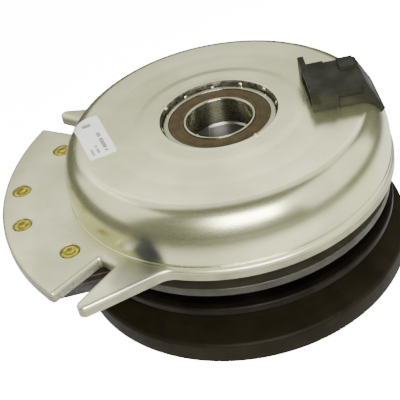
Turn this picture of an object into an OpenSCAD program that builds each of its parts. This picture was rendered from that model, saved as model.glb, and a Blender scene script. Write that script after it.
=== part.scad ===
// Electromagnetic clutch and brake for a belt-driven mower deck.
// Z runs along the crankshaft, +Z towards the engine.
// Z = 0 is the underside of the field's mounting plate. -X points at the torque plate.

/* [Crank bore] */
// Crankshaft diameter
crank_d = 28.575; // [25.4:0.005:30]
// Keyway width
key_w = 6.4; // [4:0.1:8]
// Keyway depth beyond the bore wall
key_depth = 1.6; // [1:0.1:2.2]
// Keyway direction round the bore
key_az = 120; // [0:1:359]

/* [Field shell] */
// Radius of the shell's flange
flange_r = 72.3; // [71.8:0.1:74]
// Thickness of the mounting plate
plate_t = 5.4; // [4:0.1:6]
// Radius of the shell's side wall
wall_r = 71.2; // [70:0.1:71.6]
// Reach of the rounded shoulder inwards from the wall
shoulder_r = 11.5; // [10:0.5:14]
// Drop of the rounded shoulder from the top
shoulder_drop = 19; // [12:0.5:20]
// Height of the shell's top above the plate's underside
dome_h = 28.9; // [28:0.1:30]
// Height of the bearing mouth
mouth_h = 29.7; // [29:0.1:31]
// Sheet thickness of the shell
shell_t = 4.2; // [3:0.1:4.6]
// Number of staking marks round the bearing mouth
stake_n = 12; // [8:1:16]

/* [Torque plate] */
// Outer radius of the crescent
crescent_r = 102; // [98:0.5:106]
// Half of the crescent's angle
crescent_half = 36.7; // [34:0.1:38]
// Angle from the centre line to a finger's inner side
finger_in = 43.4; // [42:0.1:45]
// Radius at which a torque notch ends
notch_r = 76.6; // [75:0.1:79]
// Radius of a finger's round tip
tip_r = 3; // [2:0.1:3.5]
// Distance from the centre to the tip circle along the finger
tip_at = 98.5; // [92:0.5:100]
// Slope of a finger's outer side
finger_slope = 17; // [14:0.5:20]
// Radius of the blend between a finger and the flange
fillet_r = 9; // [6:0.5:14]

/* [Connector] */
// Turn of the connector about Z
conn_turn = -3.6; // [-6:0.1:6]
// Distance from the centre to the connector's mouth
conn_s = 38.2; // [37:0.1:39]
// Length of the connector's body
conn_len = 23.3; // [20:0.1:24]
// Height of the connector above the shell
conn_h = 8.4; // [8:0.1:10]

/* [Bearings] */
// Width of the field bearing
fb_w = 12.5; // [12:0.1:13]
// Outer radius of the field bearing
fb_ro = 25; // [24.6:0.1:25.2]
// Height of the field bearing's upper face
fb_top = 27.3; // [27:0.1:28]
// Number of balls in the field bearing
fb_balls = 13; // [10:1:13]
// Inner radius of the pulley bearing
pb_ri = 17.5; // [17:0.1:18]
// Outer radius of the pulley bearing
pb_ro = 31; // [30:0.5:32]
// Width of the pulley bearing
pb_w = 14; // [13:0.5:15]
// Number of balls in the pulley bearing
pb_balls = 11; // [8:1:12]

/* [Rotor and armature] */
// Outer radius of the rotor
rotor_r = 66; // [62:0.5:68]
// Thickness of the rotor disc
rotor_t = 5.4; // [4.5:0.1:5.6]
// Outer radius of the armature
arm_r = 69.9; // [66:0.1:70.2]
// Thickness of the armature
arm_t = 4.35; // [4:0.05:4.6]
// Travel of the armature from the brake to the rotor
arm_gap = 0.4; // [0.3:0.05:0.5]

/* [Pulley] */
// Outer radius of the upper sheave
sheave_up_r = 70.7; // [68:0.1:72]
// Outer radius of the lower sheave
sheave_low_r = 75.7; // [72:0.1:77]
// Sheet thickness of the sheaves
sheave_t = 3; // [2.6:0.1:3.2]
// Half of the belt groove's angle
groove_half = 18; // [17:0.5:19]
// Height of the lower sheave's rim
rim_h = 9.6; // [8:0.1:10]

/* [Brake] */
// Half of the brake block's width
block_half = 49.5; // [45:0.5:50]
// Outer radius of the brake block
block_r = 99.6; // [97:0.1:100]
// Radius of the brass rivet heads
brass_r = 3.9; // [3.5:0.1:4.2]

/* [Hidden] */
$fn = 96;
eps = 0.01;
bore_r = crank_d / 2;
// axial stations
fb_bot = fb_top - fb_w;
fb_mid = (fb_top + fb_bot) / 2;
rotor_top = -1;
rotor_bot = rotor_top - rotor_t;
face_gap = 0.03;
arm_top = rotor_bot - arm_gap - face_gap;
arm_bot = arm_top - arm_t;
sheave_top = -17.2;
sheave_edge = 3.6;
groove_top = sheave_top - sheave_edge;
groove_bot = -33.4;
pulley_bot = groove_bot - rim_h;
web_z = -26.4;
groove_in = 57;
pb_top = -22.6;
pb_bot = pb_top - pb_w;
pb_mid = (pb_top + pb_bot) / 2;
// radial stations
hub_r = pb_ri;
hub_seat_r = 20;
hub_bot = -41;
boss_r = 30;
pole_r = 34;
shell_in_r = wall_r - shell_t;
shell_in_z = dome_h - shell_t;
seat_shoulder_r = 22;
seat_shoulder_z = fb_bot - 3.4;
// bearing details
race_gap = 0.06;
seal_gap = 0.35;
fb_land = 15.5;
fb_in_r = 17;
fb_pitch = 19.2;
fb_ball = 2.9;
fb_out_in = 21.3;
fb_seal_r = 22.2;
seal_t = 1.2;
seal_drop = 0.25;
pb_pitch = 24.2;
pb_ball = 4;
pb_in_r = 21;
pb_out_in = 27.4;
pb_land = 20.2;
pb_seal_r = 28.4;
chamfer = 0.6;
// brass rivet places on the -X side, upper half; mirrored for the other half
rivet_at = [[-92.7, 12.4], [-73.1, 37.5]];
rivet_shank = 2.5;
rivet_dish = 1.8;
shoe_top = arm_bot - face_gap - 0.02;
shoe_bot = -15.9;
block_bot = -8;
block_in = 72.4;
pole_plate_t = 3;
shoe_in = 61.5;
shoe_half = 41;
shoe_r = 96.5;
// springs between the armature and the pulley
spring_n = 3;
spring_t = 0.7;
spring_w = 10;
spring_top = arm_bot - 0.1;
spring_r = 50;
spring_span = 46;
stud_r = 2.4;
// connector details
mouth_lip = 2.6;
conn_near = -14.1;
conn_far = 10.5;
lip_far = 18.2;
cavity_z = [1.2, 7.3];
cavity_w = [-12.5, 9.2];
cavity_len = 15;
blade_w = [-6.4, 3];
blade_size = [6.3, 0.8];
blade_at = 45;
lead_s = 56;
lead_hole_r = 3.2;
tail_s = 68.3;
tail_z = 24.4;

// ---------- helpers ----------
function polar(r, a) = [r * cos(a), r * sin(a)];
function arc(c, r, a0, a1, n) =
    [for (i = [0 : n]) [c[0] + r * cos(a0 + (a1 - a0) * i / n),
                        c[1] + r * sin(a0 + (a1 - a0) * i / n)]];

module ring(ro, ri, z0, z1) {
    translate([0, 0, z0])
        difference() {
            cylinder(r = ro, h = z1 - z0);
            translate([0, 0, -1]) cylinder(r = ri, h = z1 - z0 + 2);
        }
}

module pin(r, z0, z1) {
    translate([0, 0, z0]) cylinder(r = r, h = z1 - z0);
}

module around(n, r, start = 0) {
    for (i = [0 : n - 1])
        rotate([0, 0, start + 360 * i / n])
            translate([r, 0, 0])
                children();
}

module both_sides() {
    children();
    mirror([0, 1, 0]) children();
}

module at_rivets() {
    both_sides()
        for (p = rivet_at)
            translate([p[0], p[1], 0])
                children();
}

// Quarter-oval shoulder from angle a0 to a1, offset outwards by off.
function shoulder(a0, a1, n, off = 0) =
    [for (i = [0 : n]) let (a = a0 + (a1 - a0) * i / n)
        [wall_r - shoulder_r + (shoulder_r + off) * cos(a),
         dome_h - shoulder_drop + (shoulder_drop + off) * sin(a)]];

// ---------- field shell ----------
// Outer surface of revolution, from the bearing mouth down to the plate.
function shell_outer() = concat(
    [[fb_ro, mouth_h - 0.6], [fb_ro + 0.6, mouth_h], [33.5, mouth_h - 0.1],
     [36.5, dome_h + 0.25], [45.6, dome_h + 0.15], [47.4, dome_h]],
    shoulder(90, 0, 12),
    [[wall_r, plate_t + 1.2], [wall_r + 0.5, plate_t + 0.2]]);

module shell_profile() {
    polygon(concat(
        [[seat_shoulder_r, seat_shoulder_z], [seat_shoulder_r, fb_bot], [fb_ro, fb_bot]],
        shell_outer(),
        [[wall_r + 0.6, 1], [shell_in_r, 1]],
        arc([shell_in_r - 8, shell_in_z - 8], 8, 0, 90, 8),
        [[boss_r, shell_in_z], [boss_r, seat_shoulder_z]]));
}

module dome_solid() {
    rotate_extrude()
        polygon(concat([[0, -1], [0, mouth_h]], shell_outer(), [[wall_r, -1]]));
}

module wedge(half, r) {
    polygon([[0, 0], [-r * cos(half), r * sin(half)], [-1.5 * r, r * sin(half)],
             [-1.5 * r, -r * sin(half)], [-r * cos(half), -r * sin(half)]]);
}

// Finger on the -Y side of the crescent, with a fillet where it meets the flange.
module finger() {
    u = polar(1, 180 + finger_in);
    n = polar(1, finger_in - 90);
    d = polar(1, finger_slope);
    m = polar(1, finger_slope - 90);
    tip = tip_at * u + tip_r * n;
    c = m * tip + tip_r;
    s = -sqrt(pow(flange_r + fillet_r - 0.3, 2) - pow(c + fillet_r, 2));
    q = (c + fillet_r) * m + s * d;
    polygon(concat([[0, 0]],
        arc(tip, tip_r, 90 + finger_in, 270 + finger_slope, 12),
        arc(q, fillet_r, 90 + finger_slope, atan2(-q[1], -q[0]), 10)));
}

module plate_outline() {
    circle(r = flange_r);
    intersection() {
        circle(r = crescent_r);
        wedge(crescent_half, crescent_r * 1.2);
    }
    intersection() {
        circle(r = notch_r);
        wedge(finger_in + 1, notch_r * 1.2);
    }
    both_sides() finger();
}

module field_shell() {
    color("silver")
        difference() {
            union() {
                rotate_extrude() shell_profile();
                linear_extrude(plate_t)
                    difference() {
                        plate_outline();
                        circle(r = shell_in_r);
                    }
                around(stake_n, fb_ro, 27) pin(1.2, fb_top, mouth_h - 0.9);
            }
            at_rivets() {
                pin(brass_r + 0.35, plate_t - 1.6, plate_t + 1);
                pin(rivet_shank, -1, plate_t);
            }
            rotate([0, 0, conn_turn])
                for (w = blade_w)
                    translate([lead_s, w, 0]) pin(lead_hole_r, shell_in_z - 6, dome_h + 2);
        }
}

module inner_pole() {
    color("dimgray") ring(pole_r, boss_r, 0.8, shell_in_z);
}

// ---------- coil ----------
module lead_holes(r) {
    rotate([0, 0, conn_turn])
        for (w = blade_w)
            translate([lead_s, w, 0]) pin(r, 18, shell_in_z + 1);
}

module coil_bobbin() {
    color("black")
        difference() {
            rotate_extrude()
                polygon([[pole_r, 3.4], [62, 3.4], [62, 5], [pole_r + 1.8, 5],
                         [pole_r + 1.8, 20.4], [62, 20.4], [62, 22], [pole_r, 22]]);
            lead_holes(1.3);
        }
}

module coil_winding() {
    color("peru") ring(60.5, pole_r + 1.8, 5, 20.4);
}

module coil_potting() {
    color("black") ring(shell_in_r, pole_r, 1, 3.4);
}

module coil_leads() {
    color("peru")
        rotate([0, 0, conn_turn])
            for (w = blade_w)
                translate([lead_s, w, 0]) pin(0.9, 20.4, 25);
}

// ---------- connector ----------
module conn_box(s0, s1, w0, w1, z0, z1) {
    translate([s0, w0, dome_h + z0]) cube([s1 - s0, w1 - w0, z1 - z0]);
}

module connector_housing() {
    end = conn_s + conn_len;
    color("darkslategray")
        rotate([0, 0, conn_turn])
            difference() {
                union() {
                    conn_box(conn_s, conn_s + mouth_lip, conn_near, lip_far, -1, conn_h + 0.2);
                    conn_box(conn_s, conn_s + 9.8, conn_near, conn_far + 1.1, -1, conn_h);
                    conn_box(conn_s, end, conn_near + 0.8, conn_far, -1, conn_h - 0.2);
                    conn_box(end - 8, end - 1.2, 1.6, 9.6, conn_h - 1, conn_h + 1.2);
                    conn_box(end - 12, end, conn_near, conn_near + 1.2, -1, conn_h - 3.6);
                    translate([0, conn_far, 0])
                        rotate([90, 0, 0])
                            linear_extrude(conn_far - conn_near)
                                polygon([[end - 2, dome_h - 1], [end - 2, dome_h + conn_h - 0.2],
                                         [end, dome_h + conn_h - 0.2], [tail_s, tail_z],
                                         [tail_s - 2, tail_z - 2]]);
                }
                dome_solid();
                translate([conn_s - 1, cavity_w[0], dome_h + cavity_z[0]])
                    cube([cavity_len + 1, cavity_w[1] - cavity_w[0], cavity_z[1] - cavity_z[0]]);
                for (w = blade_w)
                    translate([lead_s, w, 0])
                        pin(1.8, dome_h - 2, dome_h + cavity_z[0] + 2.9);
                for (w = blade_w)
                    translate([conn_s + cavity_len - 1, w - blade_size[0] / 2,
                               dome_h + cavity_z[0] + 2.1])
                        cube([lead_s - conn_s - cavity_len + 1, blade_size[0], blade_size[1]]);
            }
}

module connector_terminals() {
    z = dome_h + cavity_z[0] + 2.1;
    color("gold")
        rotate([0, 0, conn_turn])
            for (w = blade_w) {
                translate([blade_at, w - blade_size[0] / 2, z])
                    cube([lead_s - blade_at, blade_size[0], blade_size[1]]);
                translate([lead_s, w, 0]) pin(1.8, 25, z + blade_size[1]);
            }
}

// ---------- label ----------
module label() {
    t = 0.12;
    color("white")
        difference() {
            intersection() {
                rotate_extrude()
                    polygon(concat([[47.4, dome_h], [47.4, dome_h + t]],
                        shoulder(90, 30, 8, t), shoulder(30, 90, 8)));
                translate([-54.3, 4.9, 0])
                    rotate([0, 0, 12])
                        translate([-6.1, -16.1, 20]) cube([12.2, 32.2, 12]);
            }
        }
}

// ---------- ball bearings ----------
// Ring with a ball groove: ri and ro bound the metal, the groove runs at pitch.
module race(ro, ri, z0, z1, pitch, ball, seal_step_r, outer) {
    mid = (z0 + z1) / 2;
    step = seal_t + seal_drop + 0.05;
    rotate_extrude()
        difference() {
            polygon([[ri + (outer ? 0 : chamfer), z0], [ro - (outer ? chamfer : 0), z0],
                     [ro, z0 + (outer ? chamfer : 0)], [ro, z1 - (outer ? chamfer : 0)],
                     [ro - (outer ? chamfer : 0), z1], [ri + (outer ? 0 : chamfer), z1],
                     [ri, z1 - (outer ? 0 : chamfer)], [ri, z0 + (outer ? 0 : chamfer)]]);
            translate([pitch, mid]) circle(r = ball + race_gap);
            for (z = [z0 - 1, z1 - step])
                translate([outer ? ri - 1 : seal_step_r, z])
                    square([outer ? seal_step_r - ri + 1 : ro - seal_step_r + 1, step + 1]);
        }
}

module balls(n, pitch, ball, mid) {
    around(n, pitch) translate([0, 0, mid]) sphere(r = ball);
}

module crown_cage(n, pitch, ball, mid, half_t) {
    difference() {
        ring(pitch + half_t, pitch - half_t, mid - ball - 1.1, mid + 0.9);
        around(n, pitch) translate([0, 0, mid]) sphere(r = ball + 0.08);
    }
}

module seals(ro, ri, z0, z1) {
    ring(ro, ri, z0 + seal_drop, z0 + seal_drop + seal_t);
    ring(ro, ri, z1 - seal_drop - seal_t, z1 - seal_drop);
}

module bearing_outer_ring() {
    color("lightgray")
        race(fb_ro, fb_out_in, fb_bot, fb_top, fb_pitch, fb_ball, fb_seal_r, true);
}

module bearing_inner_ring() {
    color("lightgray")
        race(fb_in_r, bore_r, fb_bot, fb_top, fb_pitch, fb_ball, fb_land, false);
}

module bearing_seals() {
    color("saddlebrown") seals(fb_seal_r, fb_land + seal_gap, fb_bot, fb_top);
}

module bearing_balls() {
    color("silver") balls(fb_balls, fb_pitch, fb_ball, fb_mid);
}

module bearing_cage() {
    color("tan") crown_cage(fb_balls, fb_pitch, fb_ball, fb_mid, 1.1);
}

module pulley_bearing_outer_ring() {
    color("lightgray")
        race(pb_ro, pb_out_in, pb_bot, pb_top, pb_pitch, pb_ball, pb_seal_r, true);
}

module pulley_bearing_inner_ring() {
    color("lightgray")
        race(pb_in_r, pb_ri, pb_bot, pb_top, pb_pitch, pb_ball, pb_land, false);
}

module pulley_bearing_seals() {
    color("saddlebrown") seals(pb_seal_r, pb_land + seal_gap, pb_bot, pb_top);
}

module pulley_bearing_balls() {
    color("silver") balls(pb_balls, pb_pitch, pb_ball, pb_mid);
}

module pulley_bearing_cage() {
    color("tan") crown_cage(pb_balls, pb_pitch, pb_ball, pb_mid, 1.6);
}

// ---------- brake ----------
module brake_cut(half, z0, z1) {
    translate([-110, -half, z0]) cube([70, 2 * half, z1 - z0]);
}

module brake_pole_plate() {
    color("dimgray")
        difference() {
            intersection() {
                ring(block_r, block_in, -pole_plate_t, 0);
                brake_cut(block_half, -pole_plate_t - 1, 1);
            }
            at_rivets() pin(rivet_shank, -5, 1);
        }
}

module brake_magnets() {
    color("black")
        difference() {
            intersection() {
                ring(block_r - 0.6, block_in, block_bot, -pole_plate_t);
                brake_cut(block_half - 0.4, block_bot - 1, 0);
            }
            translate([-110, -0.6, block_bot - 1]) cube([70, 1.2, -block_bot]);
            at_rivets() pin(rivet_shank, block_bot - 1, 0);
        }
}

module brake_shoe() {
    color("black")
        difference() {
            intersection() {
                union() {
                    ring(shoe_r, block_in, shoe_bot, block_bot);
                    ring(block_in + 1, shoe_in, shoe_bot, shoe_top);
                }
                brake_cut(shoe_half, shoe_bot - 1, 0);
            }
            at_rivets() pin(rivet_shank, shoe_bot - 1, 0);
        }
}

module brake_rivets() {
    color("goldenrod")
        at_rivets() {
            pin(rivet_shank, shoe_bot, plate_t - 1.6);
            difference() {
                pin(brass_r, plate_t - 1.6, plate_t - 0.1);
                pin(rivet_dish, plate_t - 0.8, plate_t + 1);
            }
        }
}

// ---------- rotor ----------
module keyed_bore(z0, z1) {
    pin(bore_r, z0, z1);
    rotate([0, 0, key_az])
        translate([0, -key_w / 2, z0]) cube([bore_r + key_depth, key_w, z1 - z0]);
}

module rotor_hub() {
    color("slategray")
        difference() {
            union() {
                pin(fb_in_r, rotor_top, fb_bot);
                pin(hub_seat_r, pb_top, rotor_top);
                pin(hub_r, hub_bot, pb_top);
            }
            keyed_bore(hub_bot - 1, fb_bot + 1);
            ring(hub_r + 1, hub_r - 0.9, pb_bot - 1.3, pb_bot);
        }
}

module rotor_disc() {
    color("dimgray")
        difference() {
            ring(rotor_r, hub_seat_r, rotor_bot, rotor_top);
            ring(59, 53, rotor_bot - 1, rotor_bot + 2);
            for (r = [46, 30])
                around(4, 0, r)
                    rotate([0, 0, 0])
                        translate([0, 0, rotor_bot - 1])
                            rotate_extrude(angle = 66)
                                translate([r, 0]) square([3.4, rotor_t + 2]);
        }
}

module friction_ring() {
    color("saddlebrown") ring(59, 53, rotor_bot, rotor_bot + 2);
}

module hub_snap_ring() {
    color("gray")
        difference() {
            ring(hub_r + 2, hub_r - 0.9, pb_bot - 1.2, pb_bot);
            translate([0, -3, pb_bot - 2]) cube([30, 6, 3]);
        }
}

// ---------- pulley ----------
function groove_z(r, r0, z0, sgn) = z0 + sgn * (r0 - r) * tan(groove_half);

module pulley_upper_sheave() {
    root = groove_z(groove_in, sheave_up_r - 0.8, groove_top, -1);
    color("dimgray")
        difference() {
            rotate_extrude()
                polygon([[pb_ro, web_z], [pb_ro, pb_top + 2], [pb_ro + 3.2, pb_top + 2],
                         [pb_ro + 3.2, web_z + sheave_t], [groove_in - 3, web_z + sheave_t],
                         [groove_in + 1, root + sheave_t + 0.2],
                         [sheave_up_r - 5.2, sheave_top - 0.9], [sheave_up_r - 3, sheave_top],
                         [sheave_up_r - 0.8, sheave_top], [sheave_up_r, sheave_top - 0.8],
                         [sheave_up_r, groove_top + 0.8], [sheave_up_r - 0.8, groove_top],
                         [groove_in, root], [groove_in - 2, web_z]]);
            around(6, 42) pin(2, web_z - 1, web_z + sheave_t + 1);
            around(spring_n, spring_r, spring_span / 2) pin(stud_r, web_z - 1, web_z + 9);
        }
}

module pulley_lower_sheave() {
    root = groove_z(groove_in, sheave_low_r - 1, groove_bot, 1);
    color("dimgray")
        difference() {
            rotate_extrude()
                polygon([[pb_ro, web_z], [groove_in - 2, web_z], [groove_in, root],
                         [sheave_low_r - 1.6, groove_bot + 0.1],
                         [sheave_low_r - 0.5, groove_bot - 0.6],
                         [sheave_low_r, groove_bot - 1.8], [sheave_low_r, pulley_bot + 0.5],
                         [sheave_low_r - 0.5, pulley_bot],
                         [sheave_low_r - sheave_t + 0.5, pulley_bot],
                         [sheave_low_r - sheave_t, pulley_bot + 0.5],
                         [sheave_low_r - sheave_t, groove_bot - sheave_t - 1],
                         [sheave_low_r - sheave_t - 2, groove_bot - sheave_t + 0.4],
                         [groove_in, root - sheave_t - 0.2],
                         [groove_in - 2.6, web_z - sheave_t],
                         [pb_ro + 3.2, web_z - sheave_t], [pb_ro + 3.2, pb_bot - 3],
                         [pb_ro, pb_bot - 3], [pb_ro, pb_bot - 2.2],
                         [pb_ro + 1, pb_bot - 2.2], [pb_ro + 1, pb_bot - 1],
                         [pb_ro, pb_bot - 1]]);
            around(6, 42) pin(2, web_z - sheave_t - 1, web_z + 1);
            around(spring_n, spring_r, spring_span / 2) pin(stud_r, web_z - 9, web_z + 1);
        }
}

module sheave_rivets() {
    color("gray")
        around(6, 42) {
            pin(2, web_z - sheave_t, web_z + sheave_t);
            pin(3.6, web_z - sheave_t - 1.4, web_z - sheave_t);
            pin(3.6, web_z + sheave_t, web_z + sheave_t + 1.4);
        }
}

module pulley_snap_ring() {
    color("gray")
        difference() {
            ring(pb_ro + 1, pb_ro - 2.4, pb_bot - 2.2, pb_bot - 1);
            translate([0, -4, pb_bot - 3]) cube([40, 8, 3]);
        }
}

// ---------- armature and springs ----------
module spring_spacers() {
    color("gray")
        around(spring_n, spring_r, spring_span / 2)
            ring(4.6, stud_r, web_z + sheave_t, spring_top - spring_t);
}

module spring_rivets() {
    color("gray")
        around(spring_n, spring_r, spring_span / 2) {
            pin(stud_r, web_z - sheave_t, spring_top);
            pin(4, web_z - sheave_t - 1.6, web_z - sheave_t);
        }
}

module leaf_springs() {
    reach = spring_r * sin(spring_span / 2);
    color("steelblue")
        around(spring_n, 0)
            difference() {
                translate([spring_r * cos(spring_span / 2), 0, spring_top - spring_t])
                    linear_extrude(spring_t) {
                        square([spring_w, 2 * reach], center = true);
                        for (s = [-1, 1])
                            translate([0, s * spring_r * sin(spring_span / 2)])
                                circle(d = spring_w);
                    }
                for (s = [-1, 1])
                    translate([spring_r * cos(spring_span / 2),
                               s * spring_r * sin(spring_span / 2), 0])
                        pin(stud_r, spring_top - spring_t - 1, spring_top + 1);
            }
}

module armature_plate() {
    color("dimgray")
        difference() {
            union() {
                ring(arm_r, 26, arm_bot + 0.6, arm_top);
                ring(arm_r - 0.6, 26, arm_bot, arm_bot + 0.6);
            }
            around(6, 0, 10)
                translate([0, 0, arm_bot - 1])
                    rotate_extrude(angle = 40)
                        translate([38, 0]) square([3.4, arm_t + 2]);
            around(spring_n, spring_r, -spring_span / 2) {
                pin(stud_r, arm_bot - 1, arm_top + 1);
                pin(stud_r + 1.6, arm_top - 1.4, arm_top + 1);
            }
            around(spring_n, spring_r, spring_span / 2) pin(stud_r + 0.8, arm_bot - 1, arm_top + 1);
        }
}

module armature_rivets() {
    color("gray")
        around(spring_n, spring_r, -spring_span / 2) {
            pin(stud_r, spring_top - spring_t, arm_top - 1.4);
            pin(stud_r + 1.6, arm_top - 1.4, arm_top - 0.2);
            pin(4, spring_top - spring_t - 1.3, spring_top - spring_t);
        }
}

field_shell();
inner_pole();
coil_bobbin();
coil_winding();
coil_potting();
connector_housing();
connector_terminals();
coil_leads();
label();
bearing_outer_ring();
bearing_seals();
bearing_inner_ring();
bearing_cage();
bearing_balls();
brake_pole_plate();
brake_magnets();
brake_shoe();
brake_rivets();
rotor_hub();
rotor_disc();
friction_ring();
hub_snap_ring();
pulley_bearing_inner_ring();
pulley_bearing_outer_ring();
pulley_bearing_seals();
pulley_bearing_cage();
pulley_bearing_balls();
pulley_upper_sheave();
pulley_lower_sheave();
sheave_rivets();
pulley_snap_ring();
spring_spacers();
spring_rivets();
leaf_springs();
armature_plate();
armature_rivets();
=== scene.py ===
"""Finished looks of an electromagnetic clutch and brake for a mower crankshaft.

Lengths in the classes are millimetres and angles are degrees. Meshes are made in metres,
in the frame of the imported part: Z along the crankshaft, -X towards the torque plate and
+X towards the connector.
"""
import logging
import math
import sys
from dataclasses import dataclass, field
from enum import Enum
from typing import Callable, Iterable, Sequence

import bmesh
import bpy
from mathutils import Matrix, Quaternion, Vector

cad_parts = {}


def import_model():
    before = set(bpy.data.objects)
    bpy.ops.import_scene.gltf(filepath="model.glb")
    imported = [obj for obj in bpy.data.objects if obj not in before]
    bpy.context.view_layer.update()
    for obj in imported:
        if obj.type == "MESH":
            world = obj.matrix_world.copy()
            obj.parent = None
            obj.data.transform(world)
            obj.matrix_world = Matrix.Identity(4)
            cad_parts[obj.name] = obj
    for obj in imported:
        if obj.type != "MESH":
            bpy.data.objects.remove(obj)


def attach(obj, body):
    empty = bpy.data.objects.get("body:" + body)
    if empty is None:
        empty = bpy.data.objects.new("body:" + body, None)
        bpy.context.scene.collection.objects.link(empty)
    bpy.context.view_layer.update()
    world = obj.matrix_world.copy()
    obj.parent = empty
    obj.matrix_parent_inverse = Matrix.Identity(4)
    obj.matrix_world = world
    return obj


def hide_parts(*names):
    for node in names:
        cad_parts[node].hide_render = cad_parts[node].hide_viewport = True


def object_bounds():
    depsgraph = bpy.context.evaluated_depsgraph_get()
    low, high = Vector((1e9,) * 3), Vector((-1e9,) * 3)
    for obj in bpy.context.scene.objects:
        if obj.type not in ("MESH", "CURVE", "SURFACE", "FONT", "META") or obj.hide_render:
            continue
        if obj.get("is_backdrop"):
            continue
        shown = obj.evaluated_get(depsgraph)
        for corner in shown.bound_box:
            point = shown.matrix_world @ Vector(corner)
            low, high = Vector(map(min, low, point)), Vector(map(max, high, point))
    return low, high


MM = 0.001
log = logging.getLogger("clutch")
Point = tuple[float, float]
Colour = tuple[float, float, float]


class Body(Enum):
    """The bodies that move on their own."""

    FIELD = "field"
    ROTOR = "rotor"
    CAGE = "bearing_cage"
    PULLEY = "pulley"
    PULLEY_CAGE = "pulley_bearing_cage"
    ARMATURE = "armature"


# ---------------------------------------------------------------- plane geometry


def polar(radius: float, angle: float) -> Point:
    """A point at a radius and an angle in degrees."""
    return radius * math.cos(math.radians(angle)), radius * math.sin(math.radians(angle))


def arc(centre: Point, radius: float, start: float, end: float, step: float = 5.0) -> list[Point]:
    """Points along an arc.

    Args:
        centre: Centre of the arc.
        radius: Its radius.
        start: First angle.
        end: Last angle.
        step: Largest angle between two points.

    Returns:
        The points, both ends included.
    """
    count = max(1, math.ceil(abs(end - start) / step))
    return [
        (centre[0] + p[0], centre[1] + p[1])
        for p in (polar(radius, start + (end - start) * i / count) for i in range(count + 1))
    ]


def rounded(corners: Sequence[tuple[float, float, float]], step: float = 12.0) -> list[Point]:
    """A closed loop with each corner rounded.

    Args:
        corners: Corner points, each with its rounding radius.
        step: Largest angle between two points on a rounding.

    Returns:
        The points of the loop.
    """
    loop: list[Point] = []
    count = len(corners)
    for i, (x, y, radius) in enumerate(corners):
        here = Vector((x, y))
        before = Vector(corners[i - 1][:2]) - here
        after = Vector(corners[(i + 1) % count][:2]) - here
        opening = before.angle(after)
        if radius <= 0 or opening > math.pi - 1e-3:
            loop.append((x, y))
            continue
        reach = radius / math.tan(opening / 2)
        limit = 0.49 * min(before.length, after.length)
        if reach > limit:
            radius, reach = radius * limit / reach, limit
        first = here + before.normalized() * reach
        last = here + after.normalized() * reach
        middle = here + (before.normalized() + after.normalized()).normalized() * (
            radius / math.sin(opening / 2)
        )
        turn = math.pi - opening
        pieces = max(2, math.ceil(math.degrees(turn) / step))
        a, b = first - middle, last - middle
        for k in range(pieces + 1):
            t = k / pieces
            swing = (a * math.sin((1 - t) * turn) + b * math.sin(t * turn)) / math.sin(turn)
            loop.append(tuple(middle + swing))
    return loop


# ---------------------------------------------------------------- meshes


def mesh_object(name: str, mesh: bpy.types.Mesh) -> bpy.types.Object:
    """Puts a mesh in the scene as an object at the origin."""
    made = bpy.data.objects.new(name, mesh)
    bpy.context.scene.collection.objects.link(made)
    return made


def from_bmesh(name: str, bm: bmesh.types.BMesh, crease: float = 35.0) -> bpy.types.Object:
    """Turns a bmesh into a smooth object with sharp edges kept.

    Args:
        name: Name of the object.
        bm: The mesh in metres. It is freed.
        crease: Angle above which an edge stays sharp.

    Returns:
        The object.
    """
    bmesh.ops.recalc_face_normals(bm, faces=bm.faces)
    mesh = bpy.data.meshes.new(name)
    bm.to_mesh(mesh)
    bm.free()
    shade(mesh, crease)
    return mesh_object(name, mesh)


def shade(mesh: bpy.types.Mesh, crease: float) -> None:
    """Smooth shading, with edges above the crease angle kept sharp."""
    mesh.polygons.foreach_set("use_smooth", [True] * len(mesh.polygons))
    mesh.set_sharp_from_angle(angle=math.radians(crease))
    mesh.update()


def bake(obj: bpy.types.Object) -> bpy.types.Object:
    """Turns an object's modifiers into a plain mesh.

    Args:
        obj: Object with modifiers.

    Returns:
        The same object, with the evaluated mesh and no modifiers.
    """
    graph = bpy.context.evaluated_depsgraph_get()
    mesh = bpy.data.meshes.new_from_object(obj.evaluated_get(graph))
    obj.modifiers.clear()
    old, obj.data = obj.data, mesh
    bpy.data.meshes.remove(old)
    mesh.name = obj.name
    return obj


def stack(bm: bmesh.types.BMesh, rings: Sequence[Sequence[Vector]], closed: bool) -> list[list]:
    """Joins rings of points with quads.

    Args:
        bm: Mesh to add to.
        rings: Rings with the same number of points, in metres.
        closed: Whether the last ring joins the first.

    Returns:
        The vertices of each ring.
    """
    rows = [[bm.verts.new(p) for p in ring] for ring in rings]
    pairs = list(zip(rows, rows[1:])) + ([(rows[-1], rows[0])] if closed else [])
    for low, high in pairs:
        for i in range(len(low)):
            k = (i + 1) % len(low)
            bm.faces.new((low[i], low[k], high[k], high[i]))
    return rows


def ring_points(
    radius: float | Callable[[float], float], z: float, angles: Sequence[float]
) -> list[Vector]:
    """A ring of points round Z, in metres, whose radius may follow the angle."""
    return [
        Vector((*polar(radius(a) if callable(radius) else radius, a), z)) * MM for a in angles
    ]


def even(count: int) -> list[float]:
    """Even angles round a circle."""
    return [360 * i / count for i in range(count)]


def pin_mesh(name: str, profile: Sequence[Point], sides: int = 32) -> bpy.types.Object:
    """A small turned solid about Z.

    Args:
        name: Name of the object.
        profile: Radius and height pairs, from the axis at one end to the axis at the other.
        sides: Number of sides.

    Returns:
        The object.
    """
    bm = bmesh.new()
    rows = stack(bm, [ring_points(r, z, even(sides)) for r, z in profile[1:-1]], False)
    for row, (_, z) in ((rows[0], profile[0]), (rows[-1], profile[-1])):
        pole = bm.verts.new((0, 0, z * MM))
        for i in range(sides):
            bm.faces.new((row[i], row[(i + 1) % sides], pole))
    return from_bmesh(name, bm)


# ---------------------------------------------------------------- geometry nodes


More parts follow.
